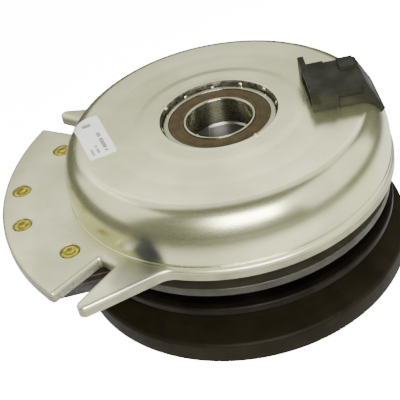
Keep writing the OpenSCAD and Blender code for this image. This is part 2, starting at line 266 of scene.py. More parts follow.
class Socket(Enum):
    """Kinds of tree inputs."""

    LENGTH = "NodeSocketFloat"
    COUNT = "NodeSocketInt"
    PART = "NodeSocketObject"
    FINISH = "NodeSocketMaterial"


class Wiring:
    """Short way to add and link nodes in a tree."""

    def __init__(self, tree: bpy.types.NodeTree) -> None:
        """Keeps the tree."""
        self.tree = tree

    def add(
        self, kind: str, links: dict[str, object] | None = None, **settings: object
    ) -> bpy.types.Node:
        """Adds a node.

        Args:
            kind: Node type.
            links: Input socket names or numbers, with a socket to link from or a value.
            settings: Node properties.

        Returns:
            The node.
        """
        node = self.tree.nodes.new(kind)
        for key, value in settings.items():
            setattr(node, key, value)
        for key, value in (links or {}).items():
            into = node.inputs[int(key)] if key.isdigit() else node.inputs[key]
            if isinstance(value, bpy.types.NodeSocket):
                self.tree.links.new(value, into)
            else:
                into.default_value = value
        return node


class MeshTree(Wiring):
    """A Geometry Nodes tree with named inputs, baked into plain meshes."""

    def __init__(self, name: str, inputs: dict[str, Socket]) -> None:
        """Makes the tree and its group sockets.

        Args:
            name: Name of the tree.
            inputs: Input names and kinds.
        """
        super().__init__(bpy.data.node_groups.new(name, "GeometryNodeTree"))
        self.keys: dict[str, str] = {}
        face = self.tree.interface
        face.new_socket("Geometry", in_out="INPUT", socket_type="NodeSocketGeometry")
        face.new_socket("Geometry", in_out="OUTPUT", socket_type="NodeSocketGeometry")
        for label, kind in inputs.items():
            made = face.new_socket(label, in_out="INPUT", socket_type=kind.value)
            self.keys[label] = made.identifier
        self.start = self.tree.nodes.new("NodeGroupInput")
        self.end = self.tree.nodes.new("NodeGroupOutput")

    def close(self, geometry: bpy.types.NodeSocket) -> None:
        """Ends the tree in Realize Instances and Set Material."""
        real = self.add("GeometryNodeRealizeInstances", {"Geometry": geometry})
        done = self.add(
            "GeometryNodeSetMaterial",
            {"Geometry": real.outputs[0], "Material": self.start.outputs["Finish"]},
        )
        self.tree.links.new(done.outputs[0], self.end.inputs[0])

    def run(
        self, obj: bpy.types.Object, values: dict[str, object], crease: float = 35.0
    ) -> bpy.types.Object:
        """Runs the tree on an object and keeps the result as its mesh.

        Args:
            obj: Object that the tree works on.
            values: Input names and values.
            crease: Angle above which an edge stays sharp.

        Returns:
            The object with its new mesh.
        """
        modifier = obj.modifiers.new("shape", "NODES")
        modifier.node_group = self.tree
        for label, value in values.items():
            modifier[self.keys[label]] = value
        bake(obj)
        bm = bmesh.new()
        bm.from_mesh(obj.data)
        bmesh.ops.remove_doubles(bm, verts=bm.verts, dist=1e-7)
        bmesh.ops.recalc_face_normals(bm, faces=bm.faces)
        bm.to_mesh(obj.data)
        bm.free()
        shade(obj.data, crease)
        return obj


class Turning(MeshTree):
    """Sweeps a half section round the Z axis, as a lathe or a spinning press shapes a ring."""

    SWEEP = 40.0

    def __init__(self) -> None:
        """Builds the tree."""
        super().__init__(
            "turned_ring",
            {"Sweep radius": Socket.LENGTH, "Segments": Socket.COUNT, "Finish": Socket.FINISH},
        )
        source = self.start.outputs
        section = self.add("GeometryNodeMeshToCurve", {"Mesh": source["Geometry"]})
        path = self.add(
            "GeometryNodeCurvePrimitiveCircle",
            {"Radius": source["Sweep radius"], "Resolution": source["Segments"]},
        )
        swept = self.add(
            "GeometryNodeCurveToMesh",
            {"Curve": path.outputs[0], "Profile Curve": section.outputs[0]},
        )
        self.close(swept.outputs[0])

    def ring(
        self,
        name: str,
        section: Sequence[Point],
        finish: bpy.types.Material,
        segments: int = 192,
        crease: float = 35.0,
    ) -> bpy.types.Object:
        """Makes a turned ring.

        Args:
            name: Name of the object.
            section: Closed loop of radius and height pairs.
            finish: Its material.
            segments: Segments round the axis.
            crease: Angle above which an edge stays sharp.

        Returns:
            The object.
        """
        mesh = bpy.data.meshes.new(name)
        count = len(section)
        mesh.from_pydata(
            [((r - self.SWEEP) * MM, -z * MM, 0) for r, z in section],
            [(i, (i + 1) % count) for i in range(count)],
            [],
        )
        return self.run(
            mesh_object(name, mesh),
            {"Sweep radius": self.SWEEP * MM, "Segments": segments, "Finish": finish},
            crease,
        )


class RingOfParts(MeshTree):
    """Sets copies of one small part at even steps round the Z axis."""

    SEED = 7

    def __init__(self) -> None:
        """Builds the tree."""
        super().__init__(
            "ring_of_parts",
            {
                "Part": Socket.PART,
                "Count": Socket.COUNT,
                "Radius": Socket.LENGTH,
                "Start angle": Socket.LENGTH,
                "Random size": Socket.LENGTH,
                "Seed": Socket.COUNT,
                "Finish": Socket.FINISH,
            },
        )
        source = self.start.outputs
        ring = self.add(
            "GeometryNodeMeshCircle", {"Vertices": source["Count"], "Radius": source["Radius"]}
        )
        angle = self.add("ShaderNodeCombineXYZ", {"Z": source["Start angle"]})
        turned = self.add(
            "GeometryNodeTransform", {"Geometry": ring.outputs[0], "Rotation": angle.outputs[0]}
        )
        place = self.add("GeometryNodeInputPosition", {})
        facing = self.add(
            "FunctionNodeAlignEulerToVector", {"Vector": place.outputs[0]}, axis="X", pivot_axis="Z"
        )
        least = self.add(
            "ShaderNodeMath", {"0": 1.0, "1": source["Random size"]}, operation="SUBTRACT"
        )
        size = self.add(
            "FunctionNodeRandomValue",
            {"2": least.outputs[0], "3": 1.0, "Seed": source["Seed"]},
            data_type="FLOAT",
        )
        part = self.add("GeometryNodeObjectInfo", {"Object": source["Part"]})
        copies = self.add(
            "GeometryNodeInstanceOnPoints",
            {
                "Points": turned.outputs[0],
                "Instance": part.outputs["Geometry"],
                "Rotation": facing.outputs[0],
                "Scale": size.outputs[1],
            },
        )
        self.close(copies.outputs[0])

    def around(
        self,
        name: str,
        part: bpy.types.Object,
        finish: bpy.types.Material,
        count: int,
        radius: float,
        start: float = 0.0,
        vary: float = 0.0,
    ) -> bpy.types.Object:
        """Makes the ring of copies and removes the single part.

        Args:
            name: Name of the new object.
            part: The single part, about Z at its own height.
            finish: Material of the copies.
            count: Number of copies.
            radius: Radius of the ring.
            start: Angle of the first copy.
            vary: How much smaller a copy may be.

        Returns:
            The object.
        """
        made = self.run(
            mesh_object(name, bpy.data.meshes.new(name)),
            {
                "Part": part,
                "Count": count,
                "Radius": radius * MM,
                "Start angle": math.radians(start),
                "Random size": vary,
                "Seed": self.SEED,
                "Finish": finish,
            },
        )
        drop(part)
        return made


class PartsAtPlaces(MeshTree):
    """Sets copies of one part at given places, each turned by its own random angle."""

    TURN_LIMIT = 6.28
    SEED = 3

    def __init__(self) -> None:
        """Builds the tree."""
        super().__init__(
            "parts_at_places",
            {
                "Part": Socket.PART,
                "Turn": Socket.LENGTH,
                "Seed": Socket.COUNT,
                "Finish": Socket.FINISH,
            },
        )
        source = self.start.outputs
        turn = self.add(
            "FunctionNodeRandomValue",
            {"2": 0.0, "3": source["Turn"], "Seed": source["Seed"]},
            data_type="FLOAT",
        )
        about = self.add("ShaderNodeCombineXYZ", {"Z": turn.outputs[1]})
        part = self.add("GeometryNodeObjectInfo", {"Object": source["Part"]})
        copies = self.add(
            "GeometryNodeInstanceOnPoints",
            {
                "Points": source["Geometry"],
                "Instance": part.outputs["Geometry"],
                "Rotation": about.outputs[0],
            },
        )
        self.close(copies.outputs[0])

    def put(
        self, name: str, part: bpy.types.Object, places: Iterable[Point], finish: bpy.types.Material
    ) -> bpy.types.Object:
        """Makes the copies and removes the single part.

        Args:
            name: Name of the new object.
            part: The single part, about Z at its own height.
            places: X and Y of each copy.
            finish: Material of the copies.

        Returns:
            The object.
        """
        mesh = bpy.data.meshes.new(name)
        mesh.from_pydata([(x * MM, y * MM, 0) for x, y in places], [], [])
        made = self.run(
            mesh_object(name, mesh),
            {"Part": part, "Turn": self.TURN_LIMIT, "Seed": self.SEED, "Finish": finish},
        )
        drop(part)
        return made


def drop(obj: bpy.types.Object) -> None:
    """Removes an object and its mesh."""
    mesh = obj.data
    bpy.data.objects.remove(obj)
    bpy.data.meshes.remove(mesh)


# ---------------------------------------------------------------- finishes


class Effect(Enum):
    """Shader node groups that several finishes share."""

    CLOUDS = "clouds"
    TURNING = "turning_marks"
    SPECKS = "specks"
    # Ragged round mask for tints and for painted dark reflections.
    PATCH = "patch"


class Paint(Wiring):
    """Short way to wire a shader tree."""

    def math(self, operation: str, a: object, b: object = 0.0) -> bpy.types.NodeSocket:
        """A Math node's result."""
        return self.add("ShaderNodeMath", {"0": a, "1": b}, operation=operation).outputs[0]

    def product(self, a: object, b: object) -> bpy.types.NodeSocket:
        """Two values multiplied."""
        return self.math("MULTIPLY", a, b)

    def fade(
        self,
        value: bpy.types.NodeSocket,
        low: float,
        high: float,
        to_low: float = 0.0,
        to_high: float = 1.0,
    ) -> bpy.types.NodeSocket:
        """A smooth map of a value from one range to another."""
        ends = {"From Min": low, "From Max": high, "To Min": to_low, "To Max": to_high}
        return self.add(
            "ShaderNodeMapRange", {"Value": value, **ends}, interpolation_type="SMOOTHSTEP"
        ).outputs[0]

    def mix(self, factor: object, a: object, b: object) -> bpy.types.NodeSocket:
        """A colour mixed from two."""
        return self.add(
            "ShaderNodeMix", {"0": factor, "6": a, "7": b}, data_type="RGBA"
        ).outputs[2]

    def between(self, value: object, low: float, high: float) -> bpy.types.NodeSocket:
        """One where a value lies between two limits, and nought elsewhere."""
        return self.product(
            self.math("GREATER_THAN", value, low), self.math("LESS_THAN", value, high)
        )

    def effect(self, which: Effect, links: dict[str, object]) -> bpy.types.NodeSocket:
        """Places a shared node group and gives its mask."""
        return self.add("ShaderNodeGroup", links, node_tree=effect_group(which)).outputs[0]


def effect_group(which: Effect) -> bpy.types.NodeTree:
    """Finds a shared effect's node group, or builds it the first time.

    Args:
        which: The effect.

    Returns:
        Its node tree.
    """
    found = bpy.data.node_groups.get(which.value)
    if found:
        return found
    tree = bpy.data.node_groups.new(which.value, "ShaderNodeTree")
    face = tree.interface
    face.new_socket("Position", in_out="INPUT", socket_type="NodeSocketVector")
    inputs = {
        Effect.CLOUDS: ("Scale", "Detail", "Low", "High"),
        Effect.TURNING: ("Pitch",),
        Effect.SPECKS: ("Scale", "Size", "Share"),
        Effect.PATCH: ("Size", "Ragged"),
    }[which]
    if which is Effect.PATCH:
        face.new_socket("Centre", in_out="INPUT", socket_type="NodeSocketVector")
    for label in inputs:
        face.new_socket(label, in_out="INPUT", socket_type="NodeSocketFloat")
    face.new_socket("Mask", in_out="OUTPUT", socket_type="NodeSocketFloat")
    wire = Paint(tree)
    source = wire.add("NodeGroupInput").outputs
    if which is Effect.CLOUDS:
        noise = wire.add(
            "ShaderNodeTexNoise",
            {"Vector": source["Position"], "Scale": source["Scale"], "Detail": source["Detail"]},
        )
        mask = wire.add(
            "ShaderNodeMapRange",
            {"Value": noise.outputs[0], "From Min": source["Low"], "From Max": source["High"]},
            interpolation_type="SMOOTHSTEP",
        ).outputs[0]
    elif which is Effect.TURNING:
        split = wire.add("ShaderNodeSeparateXYZ", {"Vector": source["Position"]}).outputs
        square = wire.math(
            "ADD", wire.product(split[0], split[0]), wire.product(split[1], split[1])
        )
        radius = wire.math("SQRT", square)
        lines = wire.add(
            "ShaderNodeCombineXYZ",
            {
                "X": wire.product(radius, source["Pitch"]),
                "Y": wire.product(split[2], source["Pitch"]),
                "Z": wire.product(wire.math("ARCTAN2", split[1], split[0]), 0.6),
            },
        )
        mask = wire.add(
            "ShaderNodeTexNoise", {"Vector": lines.outputs[0], "Scale": 1.0, "Detail": 2.0}
        ).outputs[0]
    elif which is Effect.SPECKS:
        cells = wire.add(
            "ShaderNodeTexVoronoi", {"Vector": source["Position"], "Scale": source["Scale"]}
        )
        chance = wire.add("ShaderNodeSeparateColor", {"Color": cells.outputs["Color"]})
        kept = wire.math("LESS_THAN", chance.outputs[0], source["Share"])
        inside = wire.add(
            "ShaderNodeMapRange",
            {"Value": cells.outputs["Distance"], "From Min": source["Size"], "From Max": 0.0},
        ).outputs[0]
        mask = wire.product(kept, inside)
    else:
        offset = wire.add(
            "ShaderNodeVectorMath",
            {"0": source["Position"], "1": source["Centre"]},
            operation="DISTANCE",
        )
        noise = wire.add(
            "ShaderNodeTexNoise", {"Vector": source["Position"], "Scale": 90.0, "Detail": 3.0}
        )
        ragged = wire.product(wire.math("SUBTRACT", noise.outputs[0], 0.5), source["Ragged"])
        far = wire.math("ADD", wire.math("DIVIDE", offset.outputs["Value"], source["Size"]), ragged)
        mask = wire.fade(far, 1.0, 0.35)
    end = wire.add("NodeGroupOutput")
    tree.links.new(mask, end.inputs["Mask"])
    return tree


@dataclass(frozen=True)
class TintAndPaintedReflection:
    """A tinted place on a surface; some stand for painted dark reflections on metal."""

    centre: tuple[float, float, float]
    size: float
    colour: Colour
    amount: float
    ragged: float = 0.5


@dataclass(frozen=True)
class Finish:
    """A surface finish: colours, gloss, clouding, tool marks, specks, tints and painted dark
    reflections.

    Scales are patterns per metre. Bump heights are millimetres.
    """

    name: str
    light: Colour
    dark: Colour
    metal: float = 0.0
    rough: tuple[float, float] = (0.4, 0.5)
    cloud: float = 60.0
    cloud_detail: float = 5.0
    cloud_range: tuple[float, float] = (0.3, 0.7)
    grain: float = 1500.0
    grain_height: float = 0.004
    turned: float = 0.0
    turned_height: float = 0.0
    turned_tint: float = 0.0
    speck: float = 0.0
    speck_size: float = 0.2
    speck_share: float = 0.2
    speck_colour: Colour = (0.03, 0.03, 0.03)
    coat: float = 0.0
    coat_rough: float = 0.2
    specular: float = 0.5
    stretch: float = 0.0
    tints_and_painted_reflections: tuple[TintAndPaintedReflection, ...] = field(default_factory=tuple)

    def make(self) -> bpy.types.Material:
        """Builds the material, or returns it if it was built before.

        Returns:
            The material.
        """
        found = bpy.data.materials.get(self.name)
        if found:
            return found
        made = bpy.data.materials.new(self.name)
        made.use_nodes = True
        tree = made.node_tree
        tree.nodes.clear()
        wire = Paint(tree)
        place = wire.add("ShaderNodeTexCoord").outputs["Object"]
        clouds = wire.effect(
            Effect.CLOUDS,
            {"Position": place, "Scale": self.cloud, "Detail": self.cloud_detail,
             "Low": self.cloud_range[0], "High": self.cloud_range[1]},
        )
        colour = wire.mix(clouds, (*self.dark, 1), (*self.light, 1))
        grain = wire.effect(
            Effect.CLOUDS,
            {"Position": place, "Scale": self.grain, "Detail": 2.0, "Low": 0.2, "High": 0.8},
        )
        height = wire.product(grain, self.grain_height * MM)
        gloss = wire.product(wire.math("ADD", clouds, grain), 0.5)
        if self.turned:
            marks = wire.effect(Effect.TURNING, {"Position": place, "Pitch": self.turned})
            height = wire.math("ADD", height, wire.product(marks, self.turned_height * MM))
            gloss = wire.math("ADD", wire.product(gloss, 0.5), wire.product(marks, 0.5))
            worn = wire.product(wire.fade(marks, 0.35, 0.65), self.turned_tint)
            colour = wire.mix(worn, colour, (*self.dark, 1))
        # Tints and painted dark reflections are mixed into the colour here.
        for patch in self.tints_and_painted_reflections:
            mask = wire.effect(
                Effect.PATCH,
                {"Position": place, "Centre": tuple(c * MM for c in patch.centre),
                 "Size": patch.size * MM, "Ragged": patch.ragged},
            )
            colour = wire.mix(wire.product(mask, patch.amount), colour, (*patch.colour, 1))
        if self.speck:
            spots = wire.effect(
                Effect.SPECKS,
                {"Position": place, "Scale": self.speck,
                 "Size": self.speck_size, "Share": self.speck_share},
            )
            colour = wire.mix(spots, colour, (*self.speck_colour, 1))
            height = wire.math("SUBTRACT", height, wire.product(spots, 0.02 * MM))
        bump = wire.add("ShaderNodeBump", {"Height": height, "Strength": 1.0, "Distance": 1.0})
        shader = wire.add(
            "ShaderNodeBsdfPrincipled",
            {
                "Base Color": self.tint(wire, colour),
                "Metallic": self.metal,
                "Roughness": wire.fade(gloss, 0.2, 0.8, self.rough[1], self.rough[0]),
                "Coat Weight": self.coat,
                "Coat Roughness": self.coat_rough,
                "Specular IOR Level": self.specular,
                "Normal": bump.outputs[0],
            },
        )
        if self.stretch:
            round_axis = wire.add("ShaderNodeTangent", direction_type="RADIAL", axis="Z")
            tree.links.new(round_axis.outputs[0], shader.inputs["Tangent"])
            shader.inputs["Anisotropic"].default_value = self.stretch
            shader.inputs["Anisotropic Rotation"].default_value = 0.25
        end = wire.add("ShaderNodeOutputMaterial")
        tree.links.new(shader.outputs[0], end.inputs[0])
        return made

    def tint(self, wire: Paint, colour: bpy.types.NodeSocket) -> bpy.types.NodeSocket:
        """Last change of the colour; a plain finish has none."""
        return colour


@dataclass(frozen=True)
class PrintedFinish(Finish):
    """White film with plain printed bars, laid along the piece's own map.

    A column is its left, right, low and high end on the map, its steps and its seed.
    """

    ink: Colour = (0.012, 0.012, 0.014)
    ink_amount: float = 0.95
    bar_share: float = 0.7
    gap_chance: float = 0.22
    columns: tuple[tuple[float, ...], ...] = (
        (0.62, 0.76, 0.10, 0.58, 13.0, 3.0),
        (0.36, 0.46, 0.10, 0.30, 7.0, 8.0),
        (0.17, 0.25, 0.08, 0.26, 8.0, 5.0),
        (0.30, 0.62, 0.74, 0.90, 4.0, 1.0),
    )

    def tint(self, wire: Paint, colour: bpy.types.NodeSocket) -> bpy.types.NodeSocket:
        """Prints short bars in columns over the film.

        Args:
            wire: The material's wiring.
            colour: Colour of the film.

        Returns:
            The printed colour.
        """
        spot = wire.add("ShaderNodeUVMap", uv_map="film")
        split = wire.add("ShaderNodeSeparateXYZ", {"Vector": spot.outputs[0]}).outputs
        printed: bpy.types.NodeSocket | None = None
        for left, right, low, high, count, seed in self.columns:
            across = wire.between(split[0], left, right)
            along = wire.between(split[1], low, high)
            share = wire.math("DIVIDE", wire.math("SUBTRACT", split[1], low), high - low)
            steps = wire.product(share, count)
            bar = wire.math("LESS_THAN", wire.math("FRACT", steps), self.bar_share)
            number = wire.math("ADD", wire.math("FLOOR", steps), seed)
            dice = wire.add("ShaderNodeTexWhiteNoise", {"W": number}, noise_dimensions="1D")
            kept = wire.math("GREATER_THAN", dice.outputs[0], self.gap_chance)
            mark = wire.product(wire.product(across, along), wire.product(bar, kept))
            printed = mark if printed is None else wire.math("MAXIMUM", printed, mark)
        return wire.mix(wire.product(printed, self.ink_amount), colour, (*self.ink, 1))


@dataclass(frozen=True)
class FloorFinish:
    """Pale floor that goes dark far from the object: a painted pool of light, which the metal
    reflects.
    """

    name: str
    near: Colour
    far: Colour
    reach: tuple[float, float]
    centre: tuple[float, float, float]
    glow: float

    def make(self) -> bpy.types.Material:
        """Builds the material."""
        made = bpy.data.materials.new(self.name)
        made.use_nodes = True
        wire = Paint(made.node_tree)
        ray = wire.add("ShaderNodeLightPath").outputs["Is Camera Ray"]
        shader = made.node_tree.nodes["Principled BSDF"]
        place = wire.add("ShaderNodeTexCoord").outputs["Object"]
        away = wire.add(
            "ShaderNodeVectorMath", {"0": place, "1": self.centre}, operation="DISTANCE"
        ).outputs["Value"]
        # Pale near the object and dark far away: a painted pool of light.
        painted_light_pool = wire.mix(wire.fade(away, *self.reach), (*self.near, 1), (*self.far, 1))
        made.node_tree.links.new(painted_light_pool, shader.inputs["Base Color"])
        shader.inputs["Roughness"].default_value = 0.7
        shader.inputs["Specular IOR Level"].default_value = 0.1
        shader.inputs["Emission Color"].default_value = (1, 1, 1, 1)
        made.node_tree.links.new(wire.product(ray, self.glow), shader.inputs["Emission Strength"])
        return made


ZINC = Finish(
    "zinc_plated_steel", (0.76, 0.775, 0.46), (0.57, 0.575, 0.33), metal=0.94, rough=(0.20, 0.29),
    cloud=26.0, cloud_detail=6.0, grain=2600.0, grain_height=0.0012, turned=500.0,
    turned_height=0.0004,
    speck=160.0, speck_size=0.05, speck_share=0.025, speck_colour=(0.16, 0.14, 0.10),
    tints_and_painted_reflections=(
        TintAndPaintedReflection((47.6, -52.9, 16.0), 16.0, (0.60, 0.62, 0.30), 0.55),
        # Painted dark reflection low on the dome wall at the left front.
        TintAndPaintedReflection((-41.9, -57.6, 12.0), 10.0, (0.10, 0.11, 0.135), 0.9, 0.3),
    ),
)
ZINC_PLATE = Finish(
    "zinc_plated_plate", (0.70, 0.705, 0.43), (0.52, 0.52, 0.31), metal=0.88, rough=(0.30, 0.42),
    cloud=40.0, cloud_detail=7.0, grain=1800.0, grain_height=0.003,
    speck=110.0, speck_size=0.07, speck_share=0.06, speck_colour=(0.16, 0.13, 0.09),
    # Painted dark reflection on the plate near the finger's root.
    tints_and_painted_reflections=(TintAndPaintedReflection((-48.0, -60.0, 5.0), 15.0, (0.22, 0.235, 0.18), 0.8),),
)
# Darker copy of the plate finish for the plate's sides: painted shade.
ZINC_SIDE_PAINTED_SHADE = Finish(
    "zinc_plated_side", (0.36, 0.365, 0.235), (0.26, 0.26, 0.165), metal=0.88, rough=(0.34, 0.48),
    cloud=90.0, cloud_detail=6.0, grain=1800.0, grain_height=0.004,
)
SHEARED = Finish(
    "sheared_steel", (0.36, 0.355, 0.27), (0.24, 0.235, 0.18), metal=0.9, rough=(0.4, 0.6),
    cloud=700.0, cloud_detail=4.0, grain=1500.0, grain_height=0.02,
)
# Dark finish for the bearing mouth's punched face: dark oxide, with painted shade of the recess.
MOUTH_OXIDE_AND_SHADE = Finish(
    "punched_edge_steel", (0.16, 0.15, 0.12), (0.035, 0.032, 0.026), metal=0.8, rough=(0.35, 0.55),
    cloud=420.0, cloud_detail=4.0, grain=1500.0, grain_height=0.01,
)
GROUND = Finish(
    "ground_bearing_steel", (0.44, 0.44, 0.30), (0.36, 0.36, 0.25), metal=1.0, rough=(0.22, 0.32),
    cloud=120.0, grain=3000.0, grain_height=0.0006, turned=3000.0, turned_height=0.001,
    turned_tint=0.15,
    stretch=0.85,
)
BRIGHT_RIM = Finish(
    "turned_steel", (0.60, 0.58, 0.54), (0.38, 0.37, 0.35), metal=1.0, rough=(0.22, 0.34),
    cloud=160.0, grain=2500.0, grain_height=0.001, turned=3000.0, turned_height=0.002,
    turned_tint=0.3,
)
HUB = Finish(
    "bored_hub_steel", (0.50, 0.49, 0.44), (0.34, 0.33, 0.30), metal=1.0, rough=(0.36, 0.46),
    cloud=60.0, grain=2500.0, grain_height=0.0004, turned=2000.0, turned_height=0.0002,
    turned_tint=0.15,
    stretch=0.8,
)
SEAL = Finish(
    "brown_seal_rubber", (0.060, 0.043, 0.016), (0.042, 0.030, 0.011), rough=(0.42, 0.55),
    specular=0.15,
    cloud=240.0, grain=3500.0, grain_height=0.004, turned=1500.0, turned_height=0.003,
    turned_tint=0.3,
    speck=900.0, speck_size=0.16, speck_share=0.05, speck_colour=(0.19, 0.14, 0.11),
)
BRASS = Finish(
    "brass", (0.54, 0.48, 0.055), (0.20, 0.17, 0.025), metal=0.95, rough=(0.26, 0.42),
    cloud=420.0, cloud_detail=5.0, grain=2500.0, grain_height=0.004,
    speck=1200.0, speck_size=0.25, speck_share=0.12, speck_colour=(0.12, 0.08, 0.03),
)
BLACK_COAT = Finish(
    "black_coated_steel", (0.0085, 0.0066, 0.0036), (0.004, 0.0032, 0.002), metal=0.0,
    rough=(0.34, 0.5),
    cloud=80.0, grain=2200.0, grain_height=0.004, turned=1200.0, turned_height=0.003,
    turned_tint=0.25,
    speck=700.0, speck_size=0.15, speck_share=0.04, speck_colour=(0.035, 0.029, 0.02),
    specular=0.08,
)
# Lighter finish for the bevels of black coated parts: rubbed-thin coat, with painted highlight
# along the edges.
BLACK_EDGE_WEAR_AND_HIGHLIGHT = Finish(
    "black_coat_rubbed_thin", (0.070, 0.058, 0.037), (0.026, 0.022, 0.014), metal=0.3,
    rough=(0.32, 0.46),
    cloud=300.0, cloud_detail=6.0, grain=2200.0, grain_height=0.004,
)
PRESSED_RIM = Finish(
    "black_coated_rim", (0.0115, 0.0092, 0.0036), (0.006, 0.0048, 0.002), metal=0.0,
    rough=(0.42, 0.56),
    cloud=60.0, grain=2400.0, grain_height=0.005, turned=900.0, turned_height=0.002,
    turned_tint=0.3,
    speck=500.0, speck_size=0.12, speck_share=0.05, speck_colour=(0.035, 0.029, 0.02),
    specular=0.08,
)
IRON = Finish(
    "phosphated_iron", (0.034, 0.030, 0.020), (0.019, 0.017, 0.011), metal=0.2, rough=(0.38, 0.54),
    cloud=120.0, grain=1600.0, grain_height=0.006, turned=1100.0, turned_height=0.004,
    turned_tint=0.35,
    speck=600.0, speck_size=0.18, speck_share=0.08, speck_colour=(0.14, 0.11, 0.08),
)
PLASTIC = Finish(
    "moulded_black_plastic", (0.020, 0.020, 0.0135), (0.0125, 0.0125, 0.008), rough=(0.40, 0.54),
    specular=0.12,
    cloud=140.0, grain=2600.0, grain_height=0.005, speck=900.0, speck_size=0.14, speck_share=0.03,
    speck_colour=(0.09, 0.09, 0.08),
)
# Slightly lighter copy of the plastic for its bevels: painted edge highlight.
PLASTIC_EDGE_HIGHLIGHT = Finish(
    "moulded_black_plastic_edge", (0.024, 0.024, 0.016), (0.015, 0.015, 0.010), rough=(0.40, 0.54),
    specular=0.15,
    cloud=300.0, grain=2600.0, grain_height=0.005,
)
TIN = Finish(
    "tinned_brass", (0.66, 0.62, 0.50), (0.52, 0.47, 0.34), metal=1.0, rough=(0.22, 0.34),
    cloud=500.0, grain=3000.0, grain_height=0.001,
)
COPPER = Finish(
    "enamelled_copper", (0.50, 0.20, 0.08), (0.36, 0.13, 0.05), metal=0.9, rough=(0.24, 0.36),
    cloud=200.0, grain=1500.0, grain_height=0.004, turned=3000.0, turned_height=0.03,
)
POTTING = Finish(
    "potting_resin", (0.035, 0.033, 0.030), (0.020, 0.019, 0.018), rough=(0.2, 0.4),
    cloud=80.0, grain=900.0, grain_height=0.01,
)
MAGNET = Finish(
    "ferrite_magnet", (0.034, 0.031, 0.027), (0.018, 0.017, 0.015), rough=(0.5, 0.7),
    cloud=300.0, grain=1800.0, grain_height=0.012,
)
BRAKE_IRON = Finish(
    "brake_iron", (0.020, 0.013, 0.006), (0.008, 0.0055, 0.003), rough=(0.5, 0.7), specular=0.15,
    cloud=160.0, cloud_detail=6.0, grain=1400.0, grain_height=0.012,
    speck=500.0, speck_size=0.2, speck_share=0.12, speck_colour=(0.17, 0.09, 0.045),
)
LINING = Finish(
    "friction_lining", (0.17, 0.11, 0.075), (0.11, 0.07, 0.05), rough=(0.7, 0.85),
    cloud=500.0, grain=2200.0, grain_height=0.02, speck=1800.0, speck_size=0.3, speck_share=0.25,
    speck_colour=(0.32, 0.24, 0.14),
)
SPRING = Finish(
    "blued_spring_steel", (0.16, 0.17, 0.20), (0.09, 0.095, 0.12), metal=1.0, rough=(0.22, 0.34),
    cloud=160.0, grain=2400.0, grain_height=0.002,
)
NYLON = Finish(
    "cage_nylon", (0.62, 0.54, 0.38), (0.52, 0.45, 0.31), rough=(0.4, 0.5), cloud=300.0,
    grain=2400.0,
)
FILM = PrintedFinish(
    "label_film", (0.93, 0.93, 0.90), (0.86, 0.86, 0.83), rough=(0.42, 0.52), cloud=90.0,
    grain=1200.0,
    grain_height=0.003,
)
# The floor's pale middle and dark surround are a painted pool of light.
FLOOR = FloorFinish(
    "studio_floor", near=(0.93, 0.93, 0.93), far=(0.06, 0.06, 0.06), reach=(0.14, 0.32),
    centre=(0.05, 0.0, -0.043), glow=15.0,
)


# ---------------------------------------------------------------- workshop


@dataclass
class Workshop:
    """Shared tools, and the step that puts each finished piece on its body and hides the nodes it
    stands for.
    """

    turning: Turning
    rings: RingOfParts
    places: PartsAtPlaces

    def keep(
        self, obj: bpy.types.Object, body: Body, nodes: Sequence[str]
    ) -> bpy.types.Object:
        """Puts a finished piece on its body.

        Args:
            obj: The piece.
            body: Body that it moves with.
            nodes: CAD nodes that it stands for.

        Returns:
            The piece.
        """
        if nodes:
            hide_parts(*nodes)
        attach(obj, body.value)
        log.info("%s: %d faces, on %s", obj.name, len(obj.data.polygons), body.value)
        return obj

    def soften_all(
        self, body: Body, rows: Iterable[tuple[str, Finish, Finish, float, int]]
    ) -> None:
        """Softens several CAD nodes of one body.

        Args:
            body: Body that they move with.
            rows: Node, finish, edge finish, edge width and edge steps of each.
        """
        for node, finish, edge, width, steps in rows:
            self.softened(node, body, finish, edge, width, steps)

    def softened(
        self, node: str, body: Body, finish: Finish, edge: Finish, width: float, steps: int = 2
    ) -> bpy.types.Object:
        """A CAD node's shape with its sharp edges broken, as a press or a file leaves them.

        Args:
            node: CAD node, whose own mesh is left alone.
            body: Body that it moves with.
            finish: Finish of its faces.
            edge: Finish of the broken edges; a lighter one is a painted edge highlight.
            width: Width of the broken edge.
            steps: Faces across it.

        Returns:
            The new piece.
        """
        bm = bmesh.new()
        bm.from_mesh(bpy.data.objects[node].data)
        bmesh.ops.remove_doubles(bm, verts=bm.verts, dist=2e-6)
        bmesh.ops.dissolve_limit(
            bm, angle_limit=math.radians(1.0), use_dissolve_boundaries=False,
            verts=bm.verts, edges=bm.edges, delimit={"NORMAL"},
        )
        mesh = bpy.data.meshes.new(node + "_softened")
        bm.to_mesh(mesh)
        bm.free()
        mesh.materials.append(finish.make())
        mesh.materials.append(edge.make())
        for polygon in mesh.polygons:
            polygon.material_index = 0
        obj = mesh_object(node + "_shape", mesh)
        bevel = obj.modifiers.new("edges", "BEVEL")
        bevel.width = width * MM
        bevel.segments = steps
        bevel.limit_method = "ANGLE"
        bevel.angle_limit = math.radians(40)
        # The bevels take the edge finish, which is a painted highlight where it is lighter than the
        # faces.
        bevel.material = 1
        bevel.use_clamp_overlap = True
        bevel.miter_outer = "MITER_ARC"
        bake(obj)
        shade(obj.data, 32)
        return self.keep(obj, body, [node])

    def dress(self, node: str, finish: Finish) -> None:
        """Gives a CAD node that stays as it is a better material."""
        obj = bpy.data.objects[node]
        if not obj.material_slots:
            obj.data.materials.append(None)
        for place in obj.material_slots:
            place.material = finish.make()
        log.info("%s: finished as %s", node, finish.name)


# ---------------------------------------------------------------- field shell


